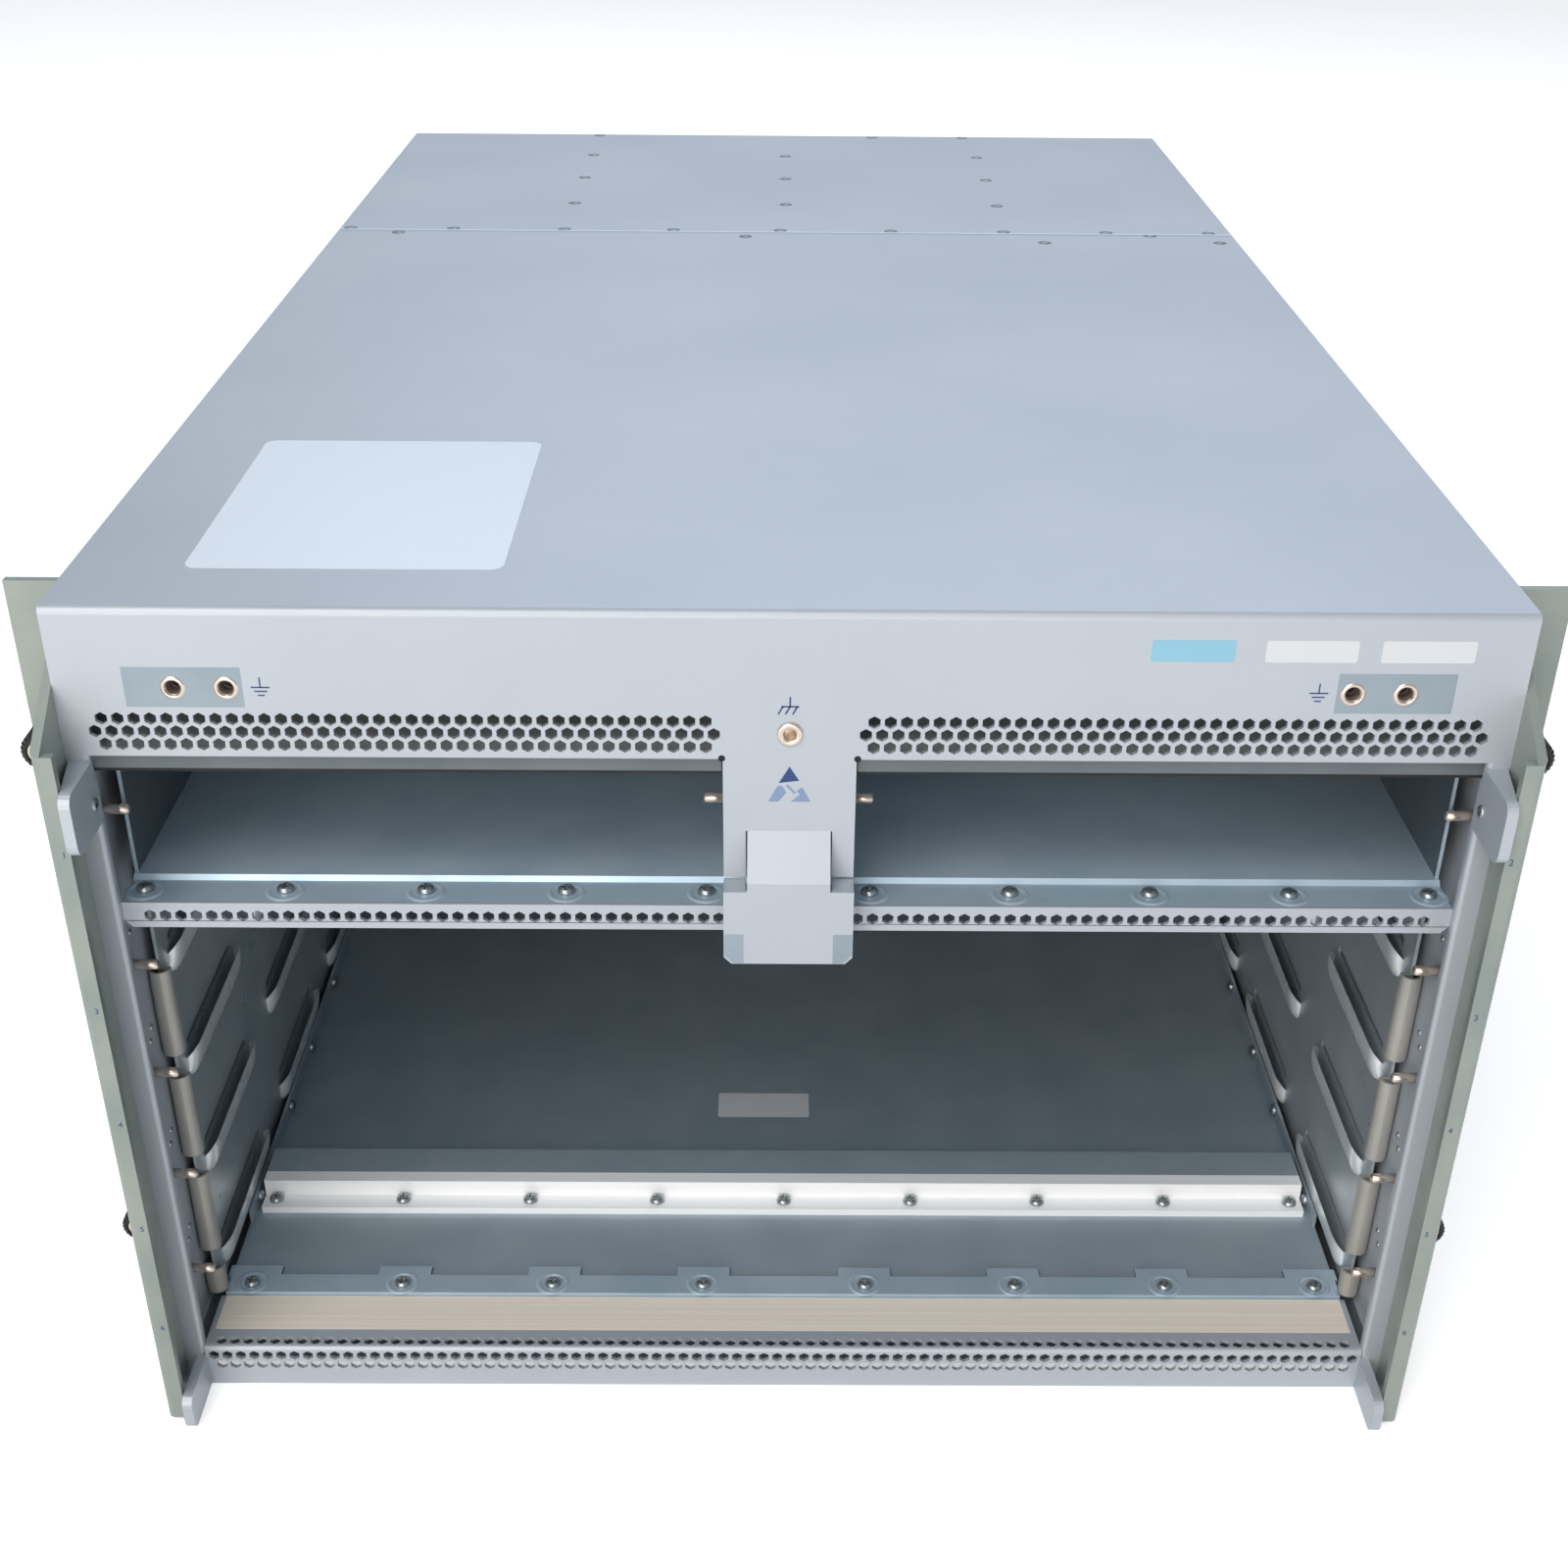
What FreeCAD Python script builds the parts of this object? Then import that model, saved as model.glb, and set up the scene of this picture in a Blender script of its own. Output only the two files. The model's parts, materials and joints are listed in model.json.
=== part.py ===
import FreeCAD, Part

import math
import os

import Sketcher

# Modular chassis switch, seven rack units high: an empty card cage of folded sheet metal.
# Frame: X across the front, Y from the front bezel to the rear, Z up, in millimetres.
# The origin is the middle of the bottom edge of the front bezel.

SQRT_THREE = math.sqrt(3.0)

# ---------------------------------------------------------------- driving dimensions

DIMENSIONS = (
    ("body_width", 442.0, "width of the folded body"),
    ("body_height", 310.0, "height of the body, seven rack units less the gap"),
    ("body_depth", 730.0, "front bezel to rear edge"),
    ("rack_width", 482.6, "over the ears of a 19 inch rack"),
    ("rack_hole_span", 465.1, "between the hole lines of a 19 inch rack"),
    ("unit_height", 44.45, "one rack unit, also the pitch of the card slots"),
    ("cover_sheet", 1.5, "painted sheet of covers and panels"),
    ("frame_sheet", 1.2, "zinc plated sheet of the cage"),
    ("frame_gap", 1.0, "clearance between neighbouring pieces of the frame"),
    ("bend_radius", 2.5, "outside radius of a fold"),
    ("seam_depth", 478.0, "where the front cover meets the rear cover"),
    ("seam_gap", 0.4, "open line between the two covers"),
    ("cover_flange", 20.0, "fold of the covers inside the side panels"),
    ("bezel_height", 48.5, "front bezel, folded down from the cover"),
    ("strap_width", 41.0, "centre strap of the bezel"),
    ("strap_drop", 90.0, "lower end of the strap's legs below the top"),
    ("tongue_width", 26.0, "middle of the strap that bends forward"),
    ("tongue_slit", 0.5, "slit beside the tongue"),
    ("tongue_drop", 73.5, "where the tongue leaves the strap, below the top"),
    ("tongue_reach", 9.0, "how far the catch plate stands forward"),
    ("catch_drop", 87.5, "upper edge of the catch plate below the top"),
    ("catch_height", 29.5, "catch plate at the end of the tongue"),
    ("catch_bevel", 2.4, "bevelled lower corners of the catch plate"),
    ("hex_pitch", 4.93, "spacing of the hexagonal vent holes"),
    ("hex_flat", 3.65, "hexagonal vent hole across its flats"),
    ("vent_count", 39.0, "holes in the middle vent row on each side"),
    ("vent_inner", 23.1, "first hole of the middle vent row from the centre"),
    ("vent_drop", 40.2, "middle vent row below the top"),
    ("lug_pitch", 15.875, "two-hole ground lug, five eighths of an inch"),
    ("lug_middle", 176.9, "middle of each ground lug pair from the centre"),
    ("lug_drop", 25.7, "ground lug holes below the top"),
    ("lug_bore", 2.5, "radius of a ground hole, the size of its thread"),
    ("nut_wall", 1.8, "wall of a clinch nut behind a ground hole"),
    ("nut_height", 4.0, "clinch nut behind a ground hole"),
    ("nut_play", 0.3, "how much wider than its hole a clinch nut is"),
    ("socket_drop", 39.9, "wrist strap socket below the top"),
    ("socket_bore", 2.0, "radius of the wrist strap socket"),
    ("socket_body", 3.6, "radius over the wrist strap socket"),
    ("socket_length", 6.0, "wrist strap socket behind the sheet"),
    ("socket_rim", 0.6, "rim of the wrist strap socket"),
    ("flange_reach", 7.0, "front flange of a side panel"),
    ("flange_return", 12.0, "fold behind the front flange"),
    ("flange_bevel", 0.9, "front corner of a side panel"),
    ("tab_sheet", 3.5, "thickness of the handling tabs"),
    ("tab_inset", 0.5, "how far a tab stands inside the front flange"),
    ("tab_reach", 24.0, "how far the tabs stand forward"),
    ("tab_drop", 71.5, "lower edge of an upper tab below the top"),
    ("tab_height", 21.0, "upper tab"),
    ("tab_corner", 4.0, "bevelled corner of a tab"),
    ("tab_web", 2.0, "gusset over an upper tab"),
    ("tab_slot_front", 15.5, "front of the slot in an upper tab"),
    ("tab_slot_width", 1.5, "slot in an upper tab"),
    ("tab_slot_rise", 5.0, "slot above the tab's lower edge"),
    ("tab_slot_height", 7.0, "slot in an upper tab"),
    ("foot_tab_height", 14.5, "lower tab"),
    ("ear_sheet", 3.0, "steel of the rack brackets"),
    ("ear_hole", 4.5, "radius of an ear's hole, which its ferrule fills"),
    ("strip_reach", 20.5, "slot number strip in front of the bezel"),
    ("strip_width", 6.6, "slot number strip"),
    ("strip_bottom", 3.0, "lower end of the brackets"),
    ("strip_drop", 39.0, "upper end of the slot number strip below the top"),
    ("ear_front", 30.0, "front face of the ears behind the bezel"),
    ("ear_drop", 4.0, "upper end of the ears below the top"),
    ("knob_low", 66.675, "lower captive screw"),
    ("knob_high", 257.175, "upper captive screw, four units and a half inch above the lower one"),
    ("knob_radius", 6.35, "black knob of a captive screw"),
    ("knob_length", 17.0, "black knob of a captive screw"),
    ("knob_bevel", 0.8, "front edge of a knob"),
    ("core_radius", 4.2, "steel core inside a knob"),
    ("core_depth", 0.6, "how far the core lies behind the knob's front face"),
    ("collar_length", 6.0, "ferrule of a captive screw"),
    ("collar_gap", 0.5, "between the ferrule and the knob"),
    ("shank_radius", 2.5, "shank of a captive screw"),
    ("shank_length", 9.0, "shank of a captive screw behind the ear"),
    ("fit_gap", 0.05, "radial play of a shank in its ferrule"),
    ("shelf_top", 207.1, "shelf between the supervisors and the line cards"),
    ("shelf_step", 1.5, "joggle behind the shelf's front edge"),
    ("shelf_step_depth", 18.0, "where the joggle starts"),
    ("lip_front", 3.5, "front face of the shelf's lip"),
    ("lip_height", 9.1, "lip below the shelf's front edge"),
    ("lip_slots", 5.0, "slots in the shelf's lip"),
    ("lip_margin", 8.0, "end of the slots from the lip's end"),
    ("divider_width", 37.0, "box between the two supervisor bays"),
    ("divider_setback", 4.0, "box behind the shelf's joggle"),
    ("grille_height", 18.0, "height of the lower bezel and of the cage floor"),
    ("grille_depth", 28.0, "flat top of the lower bezel"),
    ("grille_bend", 1.2, "upper front edge of the lower bezel"),
    ("grille_slots", 4.0, "slots in each row of the lower bezel"),
    ("grille_margin", 4.0, "end of the slots from the lower bezel's end"),
    ("grille_drop", 0.5, "slots below the lower bezel's top"),
    ("grille_setback", 2.6, "slots behind the lower bezel's front"),
    ("floor_play", 1.5, "cage floor clear of the side panels' folds"),
    ("floor_fold", 6.0, "low fold beside the cage floor"),
    ("floor_fold_lead", 6.0, "fold in front of the bar"),
    ("floor_strip_rear", 39.0, "rear edge of the floor's screw strip"),
    ("strip_tab_first", 31.0, "first tab of the screw strip from the centre"),
    ("strip_tab_margin", 10.5, "last tab from the side panel's fold"),
    ("strip_tab_width", 20.0, "tab of the screw strip"),
    ("strip_tab_reach", 5.0, "tab of the screw strip"),
    ("bar_front", 77.0, "stepped bar on the cage floor"),
    ("bar_ledge", 8.0, "low step of the bar"),
    ("bar_ledge_height", 3.0, "low step of the bar"),
    ("bar_height", 10.0, "high step of the bar"),
    ("bar_depth", 14.0, "whole bar"),
    ("bar_play", 5.0, "bar clear of the side panels' folds"),
    ("sill_depth", 15.0, "dark sill behind the bar"),
    ("midplane_depth", 470.0, "front face of the midplane board"),
    ("midplane_sheet", 3.0, "midplane board"),
    ("guide_wall_inner", 215.0, "inner face of a card guide wall from the centre"),
    ("guide_wall_front", 31.0, "front edge of a card guide wall"),
    ("roll_radius", 3.8, "rolled stretches of the wall's front edge"),
    ("roll_wall", 1.0, "sheet of a rolled stretch, drawn thin by the tool"),
    ("roll_length", 34.7, "rolled stretch between two card guides"),
    ("roll_drop", 10.5, "upper end of a roll below the guide pin"),
    ("roll_foot", 20.0, "lower end of the lowest roll"),
    ("rail_drop", 6.6, "open top of an embossed rail below the guide pin"),
    ("rail_first", 40.0, "front end of the first rail segment"),
    ("rail_length", 73.0, "one embossed rail segment"),
    ("rail_pitch", 105.0, "rail segments along the wall"),
    ("rail_band", 13.2, "height of an embossed rail"),
    ("rail_rise", 4.0, "how far a rail stands inward"),
    ("rail_segments", 3.0, "rail segments in a row"),
    ("rail_rows", 4.0, "line card slots"),
    ("pin_low", 41.6, "lowest line card guide pin"),
    ("pin_depth", 17.0, "guide pins behind the front"),
    ("pin_radius", 1.75, "guide pin"),
    ("pin_length", 9.0, "guide pin"),
    ("supervisor_pin_rise", 25.4, "guide pins of the supervisor bays above the shelf"),
    ("divider_pin_setback", 5.0, "guide pins behind the divider's front"),
    ("supply_pitch", 110.5, "power supply bays side by side"),
    ("supply_flange", 9.0, "fold on top of a supply divider"),
    ("supply_setback", 8.0, "supply dividers behind the covers' seam"),
    ("rear_play", 0.5, "rear pieces clear of the rear flange"),
)


class Size:
    """A number together with the sheet expression that gives it."""

    def __init__(self, value, text):
        self.value = float(value)
        self.text = text

    def _joined(self, other, sign, value):
        return Size(value, "(%s %s %s)" % (self.text, sign, other.text))

    def __add__(self, other):
        other = as_size(other)
        return self._joined(other, "+", self.value + other.value)

    def __sub__(self, other):
        other = as_size(other)
        return self._joined(other, "-", self.value - other.value)

    def __mul__(self, other):
        other = as_size(other)
        return self._joined(other, "*", self.value * other.value)

    def __truediv__(self, other):
        other = as_size(other)
        return self._joined(other, "/", self.value / other.value)

    def __neg__(self):
        return Size(-self.value, "(-1 * %s)" % self.text)

    def __rmul__(self, other):
        return as_size(other) * self

    def __radd__(self, other):
        return as_size(other) + self

    def __rsub__(self, other):
        return as_size(other) - self


def as_size(number):
    if isinstance(number, Size):
        return number
    return Size(number, "%.6f" % number)


def make_sheet(doc):
    """Writes every driving dimension into the sheet and returns them by name."""
    sheet = doc.addObject("Spreadsheet::Sheet", "Sizes")
    sizes = {}
    for row, (alias, value, meaning) in enumerate(DIMENSIONS, start=1):
        sheet.set("A%d" % row, alias)
        sheet.set("B%d" % row, "%g" % value)
        sheet.set("C%d" % row, meaning)
        sheet.setAlias("B%d" % row, alias)
    doc.recompute()
    for alias, _value, _meaning in DIMENSIONS:
        sizes[alias] = Size(sheet.get(alias), "Sizes.%s" % alias)
    return sizes


doc = FreeCAD.newDocument("chassis")
size = make_sheet(doc)

# ---------------------------------------------------------------- derived places

half_width = size["body_width"] / 2
top_face = size["body_height"]
rear_face = size["body_depth"]
sheet = size["cover_sheet"]
zinc = size["frame_sheet"]
gap = size["frame_gap"]
panel_inner = half_width - sheet
flange_inner = half_width - size["flange_reach"]
cover_underside = top_face - sheet
cover_flange_bottom = cover_underside - size["cover_flange"]
bezel_bottom = top_face - size["bezel_height"]
half_strap = size["strap_width"] / 2
lug_height = top_face - size["lug_drop"]
socket_height = top_face - size["socket_drop"]
hex_row = size["hex_pitch"] * (SQRT_THREE / 2)
hex_corner = size["hex_flat"] / SQRT_THREE
hex_web = size["hex_pitch"] - size["hex_flat"]
strip_top = top_face - size["strip_drop"]
ear_top = top_face - size["ear_drop"]
rack_line = size["rack_hole_span"] / 2
deck_top = bezel_bottom + zinc
shelf_bay_floor = size["shelf_top"] + size["shelf_step"]
shelf_joggle_end = size["shelf_step_depth"] + 2 * size["shelf_step"]
shelf_rear = size["midplane_depth"] - gap
midplane_rear = size["midplane_depth"] + size["midplane_sheet"]
floor_top = size["grille_height"]
floor_bottom = floor_top - zinc
floor_edge = flange_inner - size["floor_play"]
bar_edge = flange_inner - size["bar_play"]
bar_rear = size["bar_front"] + size["bar_depth"]
PIN_SIDES = 6
ROUND_SIDES = 8

# ---------------------------------------------------------------- modelling helpers

PLANES = {"X": "YZ_Plane", "Y": "XZ_Plane", "Z": "XY_Plane"}


def new_body(label):
    body = doc.addObject("PartDesign::Body", label)
    body.Label = label
    return body


def origin_plane(body, role):
    for feature in body.Origin.OriginFeatures:
        if feature.Role == role:
            return feature
    raise ValueError("no plane " + role)


def add_sketch(body, normal, level):
    """Puts a sketch across the named axis, at the given place along it."""
    sketch = body.newObject("Sketcher::SketchObject", "Sketch")
    sketch.AttachmentSupport = (origin_plane(body, PLANES[normal]), [""])
    sketch.MapMode = "FlatFace"
    # the XZ plane faces the front, against Y
    shift = -level if normal == "Y" else level
    sketch.AttachmentOffset = FreeCAD.Placement(
        FreeCAD.Vector(0, 0, shift.value), FreeCAD.Rotation()
    )
    sketch.setExpression("AttachmentOffset.Base.z", shift.text)
    return sketch


def pin_point(sketch, line, across, up):
    """Ties the start of a line to its two driving sizes."""
    for kind, place in (("DistanceX", across), ("DistanceY", up)):
        index = sketch.addConstraint(
            Sketcher.Constraint(kind, -1, 1, line, 1, place.value)
        )
        sketch.setExpression("Constraints[%d]" % index, place.text)


def add_polygon(sketch, corners):
    """Draws a closed outline whose corners follow the sheet."""
    corners = [(as_size(across), as_size(up)) for across, up in corners]
    first = sketch.GeometryCount
    count = len(corners)
    for index, (across, up) in enumerate(corners):
        next_across, next_up = corners[(index + 1) % count]
        sketch.addGeometry(
            Part.LineSegment(
                FreeCAD.Vector(across.value, up.value, 0),
                FreeCAD.Vector(next_across.value, next_up.value, 0),
            ),
            False,
        )
    for index in range(count):
        following = first + (index + 1) % count
        sketch.addConstraint(
            Sketcher.Constraint("Coincident", first + index, 2, following, 1)
        )
    for index, (across, up) in enumerate(corners):
        pin_point(sketch, first + index, across, up)


def rectangle(left, bottom, right, top):
    return [(left, bottom), (right, bottom), (right, top), (left, top)]


def regular(across, up, radius, sides):
    """A many-sided hole that a faceted piece fills."""
    corners = []
    for step in range(sides):
        angle = 2 * math.pi * step / sides
        corners.append((across + radius * math.cos(angle), up + radius * math.sin(angle)))
    return corners


def hexagon(across, up):
    """A vent hole standing on a corner."""
    half_flat = size["hex_flat"] / 2
    half_side = hex_corner / 2
    return [
        (across, up + hex_corner),
        (across - half_flat, up + half_side),
        (across - half_flat, up - half_side),
        (across, up - hex_corner),
        (across + half_flat, up - half_side),
        (across + half_flat, up + half_side),
    ]


def pad(body, normal, start, stop, outlines):
    """Adds sheet between two places along an axis, growing from the first to the second."""
    start = as_size(start)
    stop = as_size(stop)
    backwards = stop.value < start.value
    length = start - stop if backwards else stop - start
    sketch = add_sketch(body, normal, start)
    for corners in outlines:
        add_polygon(sketch, corners)
    feature = body.newObject("PartDesign::Pad", "Pad")
    feature.Profile = sketch
    feature.Type = 0
    feature.Length = length.value
    feature.setExpression("Length", length.text)
    feature.Reversed = (normal == "Y") != backwards
    feature.Refine = False
    doc.recompute()
    return feature


def cut(body, normal, start, stop, outlines):
    """Takes sheet away between two places along an axis."""
    start = as_size(start)
    length = as_size(stop) - start
    sketch = add_sketch(body, normal, start)
    for corners in outlines:
        add_polygon(sketch, corners)
    feature = body.newObject("PartDesign::Pocket", "Pocket")
    feature.Profile = sketch
    feature.Type = 0
    feature.Length = length.value
    feature.setExpression("Length", length.text)
    feature.Reversed = normal != "Y"
    feature.Refine = False
    before = body.Shape.Volume
    doc.recompute()
    if body.Shape.Volume >= before:
        raise ValueError("a cut in %s misses its sheet" % body.Label)
    return feature


def drill(body, normal, start, stop, radius, centres):
    """Takes round holes out between two places along an axis."""
    start = as_size(start)
    length = as_size(stop) - start
    radius = as_size(radius)
    sketch = add_sketch(body, normal, start)
    for across, up in centres:
        across = as_size(across)
        up = as_size(up)
        centre = FreeCAD.Vector(across.value, up.value, 0)
        axis = FreeCAD.Vector(0, 0, 1)
        ring = sketch.addGeometry(Part.Circle(centre, axis, radius.value), False)
        for kind, place in (("DistanceX", across), ("DistanceY", up)):
            index = sketch.addConstraint(
                Sketcher.Constraint(kind, -1, 1, ring, 3, place.value)
            )
            sketch.setExpression("Constraints[%d]" % index, place.text)
        index = sketch.addConstraint(Sketcher.Constraint("Radius", ring, radius.value))
        sketch.setExpression("Constraints[%d]" % index, radius.text)
    feature = body.newObject("PartDesign::Pocket", "Hole")
    feature.Profile = sketch
    feature.Type = 0
    feature.Length = length.value
    feature.setExpression("Length", length.text)
    feature.Reversed = normal != "Y"
    feature.Refine = False
    doc.recompute()
    return feature


def repeat(body, feature, rows, mirrored=False):
    """Repeats a pad or a cut along its sketch's axes, and across X = 0 where asked."""
    pattern = body.newObject("PartDesign::MultiTransform", "Grid")
    pattern.Originals = [feature]
    steps = []
    for axis_name, count, spacing in rows:
        row = body.newObject("PartDesign::LinearPattern", "Row")
        row.Direction = (feature.Profile[0], [axis_name])
        # a pad's own direction is its sketch's normal, turned round where the pad is
        row.Reversed = axis_name == "N_Axis" and feature.Reversed
        length = (count - 1) * spacing
        row.Length = length.value
        row.setExpression("Length", length.text)
        row.Occurrences = int(round(count.value))
        row.setExpression("Occurrences", count.text)
        steps.append(row)
    if mirrored:
        mirror = body.newObject("PartDesign::Mirrored", "Mirror")
        mirror.MirrorPlane = (feature.Profile[0], ["V_Axis"])
        steps.append(mirror)
    pattern.Transformations = steps
    pattern.Refine = False
    body.Tip = pattern
    doc.recompute()
    return pattern


def round_edges(body, radius, chosen):
    """Rounds the edges of the tip that the test picks."""
    base = body.Tip
    names = []
    for index, edge in enumerate(base.Shape.Edges, start=1):
        if chosen(edge):
            names.append("Edge%d" % index)
    if not names:
        raise ValueError("no edge to round on " + body.Label)
    feature = body.newObject("PartDesign::Fillet", "Bend")
    feature.Base = (base, names)
    radius = as_size(radius)
    feature.Radius = radius.value
    feature.setExpression("Radius", radius.text)
    feature.Refine = False
    doc.recompute()
    return feature


def bevel_edges(body, width, chosen):
    """Bevels the edges of the tip that the test picks."""
    base = body.Tip
    names = []
    for index, edge in enumerate(base.Shape.Edges, start=1):
        if chosen(edge):
            names.append("Edge%d" % index)
    if not names:
        raise ValueError("no edge to bevel on " + body.Label)
    feature = body.newObject("PartDesign::Chamfer", "Bevel")
    feature.Base = (base, names)
    width = as_size(width)
    feature.Size = width.value
    feature.setExpression("Size", width.text)
    feature.Refine = False
    doc.recompute()
    return feature


def along(edge, axis):
    """True for a straight edge that runs along the named axis."""
    if len(edge.Vertexes) != 2:
        return False
    span = edge.Vertexes[1].Point - edge.Vertexes[0].Point
    parts = {"X": abs(span.x), "Y": abs(span.y), "Z": abs(span.z)}
    return parts[axis] > 0.999 * span.Length


def at(edge, **places):
    """True where the middle of the edge lies at the given places."""
    middle = edge.BoundBox.Center
    here = {"x": middle.x, "y": middle.y, "z": middle.z}
    return all(abs(here[name] - place) < 0.01 for name, place in places.items())


SIDES = (("left", -1), ("right", 1))


def span(side, inner, outer):
    """The lower and upper X of a stretch given outwards from the centre."""
    if side < 0:
        return -as_size(outer), -as_size(inner)
    return as_size(inner), as_size(outer)


# ---------------------------------------------------------------- covers


VENT_STRETCH = 13


def span_box(side, inner, outer, bottom, top):
    """The arguments of a rectangle that is given outwards from the centre."""
    low, high = span(side, inner, outer)
    return low, bottom, high, top


def make_top_cover():
    body = new_body("top_cover")
    vent_middle = top_face - size["vent_drop"]
    row_edges = [vent_middle + step * hex_row for step in (-1.5, -0.5, 0.5, 1.5)]
    fold = [
        (0, row_edges[-1]),
        (sheet, row_edges[-1]),
        (sheet, cover_underside),
        (size["seam_depth"], cover_underside),
        (size["seam_depth"], top_face),
        (0, top_face),
    ]
    pad(body, "X", -half_width, half_width, [fold])
    round_edges(
        body,
        size["bend_radius"],
        lambda edge: along(edge, "X") and at(edge, y=0, z=top_face.value),
    )
    strap_bottom = top_face - size["strap_drop"]
    middle = rectangle(-half_strap, strap_bottom, half_strap, row_edges[-1])
    pad(body, "Y", 0, sheet, [middle])
    below = [
        rectangle(*span_box(side, half_strap, half_width, bezel_bottom, row_edges[0]))
        for _name, side in SIDES
    ]
    pad(body, "Y", 0, sheet, below)
    pitch = size["hex_pitch"]
    rows = []
    for row in range(3):
        shift = 0 if row == 1 else 0.5
        first = size["vent_inner"] + shift * pitch
        rows.append((first, vent_middle + (row - 1) * hex_row))
        ends = [half_strap]
        ends += [first + (VENT_STRETCH * step - 0.5) * pitch for step in (1, 2)]
        ends.append(half_width)
        # neighbouring stretches of the vent field are laid one after the other
        for stretches in ((0, 2), (1,)):
            bands = [
                rectangle(
                    *span_box(side, ends[step], ends[step + 1], row_edges[row], row_edges[row + 1])
                )
                for _name, side in SIDES
                for step in stretches
            ]
            pad(body, "Y", 0, sheet, bands)
    for _name, side in SIDES:
        low, high = span(side, panel_inner - sheet, panel_inner)
        flange = rectangle(sheet, cover_flange_bottom, size["seam_depth"], cover_underside)
        pad(body, "X", low, high, [flange])
    add_tongue(body, strap_bottom)
    lug_places = []
    for _name, side in SIDES:
        for step in (-0.5, 0.5):
            across = side * size["lug_middle"] + step * size["lug_pitch"]
            lug_places.append((across, lug_height))
    drill(body, "Y", 0, sheet, size["lug_bore"], lug_places)
    cut(body, "Y", 0, sheet, [regular(0, socket_height, size["socket_body"], ROUND_SIDES)])
    count = size["vent_count"]
    middle_hole = cut(body, "Y", 0, sheet, [hexagon(*rows[1])])
    repeat(body, middle_hole, (("H_Axis", count, pitch),), mirrored=True)
    outer_holes = cut(body, "Y", 0, sheet, [hexagon(*rows[0]), hexagon(*rows[2])])
    repeat(body, outer_holes, (("H_Axis", count - 1, pitch),), mirrored=True)
    return body


def add_tongue(body, strap_bottom):
    """The strap's middle: a tongue bent forward, with the catch plate at its end."""
    half_tongue = size["tongue_width"] / 2
    tongue_top = top_face - size["tongue_drop"]
    catch_top = top_face - size["catch_drop"]
    catch_bottom = catch_top - size["catch_height"]
    reach = size["tongue_reach"]
    edge = half_tongue + size["tongue_slit"]
    cut(body, "Y", 0, sheet, [rectangle(-edge, strap_bottom, edge, tongue_top)])
    tongue = [
        (0, tongue_top),
        (-reach, catch_top),
        (-reach, catch_bottom),
        (sheet - reach, catch_bottom),
        (sheet - reach, catch_top - sheet / 2),
        (sheet, tongue_top),
    ]
    pad(body, "X", -half_tongue, half_tongue, [tongue])
    plate = rectangle(-half_strap, catch_bottom, half_strap, catch_top - 2 * sheet)
    pad(body, "Y", -reach, sheet - reach, [plate])
    bevel_edges(
        body,
        size["catch_bevel"],
        lambda edge: along(edge, "Y")
        and abs(edge.BoundBox.Center.z - catch_bottom.value) < 0.01
        and abs(abs(edge.BoundBox.Center.x) - half_strap.value) < 0.01,
    )


def make_rear_cover():
    body = new_body("rear_top_cover")
    start = size["seam_depth"] + size["seam_gap"]
    top = rectangle(start, cover_underside, rear_face, top_face)
    pad(body, "X", -half_width, half_width, [top])
    for _name, side in SIDES:
        low, high = span(side, panel_inner - sheet, panel_inner)
        flange = rectangle(start, cover_flange_bottom, rear_face - sheet, cover_underside)
        pad(body, "X", low, high, [flange])
    return body


def make_side_panel(name, side):
    body = new_body(name + "_side_panel")
    low, high = span(side, panel_inner, half_width)
    skin = rectangle(sheet, 0, rear_face, cover_underside)
    pad(body, "X", low, high, [skin])
    low, high = span(side, flange_inner, half_width)
    pad(body, "Y", 0, sheet, [rectangle(low, 0, high, bezel_bottom)])
    low, high = span(side, flange_inner, flange_inner + sheet)
    pad(body, "Y", 0, size["flange_return"], [rectangle(low, 0, high, bezel_bottom)])
    bend_x = side * flange_inner.value
    bevel_edges(
        body,
        size["flange_bevel"],
        lambda edge: along(edge, "Z") and at(edge, x=bend_x, y=0),
    )
    add_tabs(body, side)
    low, high = span(side, panel_inner - size["flange_reach"], half_width)
    pad(body, "Y", rear_face - sheet, rear_face, [rectangle(low, 0, high, cover_underside)])
    return body


def add_tabs(body, side):
    """The handling tabs that stand forward of a side panel's front flange."""
    reach = size["tab_reach"]
    corner = size["tab_corner"]
    tab_low = top_face - size["tab_drop"]
    tab_high = tab_low + size["tab_height"]
    foot_high = size["foot_tab_height"]
    tab_inner = flange_inner - size["tab_inset"]
    low, high = span(side, tab_inner, tab_inner + size["tab_sheet"])
    upper_tab = [
        (0, tab_low),
        (-reach, tab_low),
        (-reach, tab_high - corner),
        (corner - reach, tab_high),
        (0, tab_high),
    ]
    lower_tab = [
        (0, 0),
        (corner - reach, 0),
        (-reach, corner),
        (-reach, foot_high - corner),
        (corner - reach, foot_high),
        (0, foot_high),
    ]
    pad(body, "X", low, high, [upper_tab, lower_tab])
    outer = high if side > 0 else low
    web_end = side * (half_width - size["tab_inset"])
    web = [(outer, 0), (web_end, 0), (outer, corner - reach)]
    pad(body, "Z", tab_high - size["tab_web"], tab_high, [web])
    slot_bottom = tab_low + size["tab_slot_rise"]
    slot = rectangle(
        -size["tab_slot_front"],
        slot_bottom,
        size["tab_slot_width"] - size["tab_slot_front"],
        slot_bottom + size["tab_slot_height"],
    )
    cut(body, "X", low, high, [slot])


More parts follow.
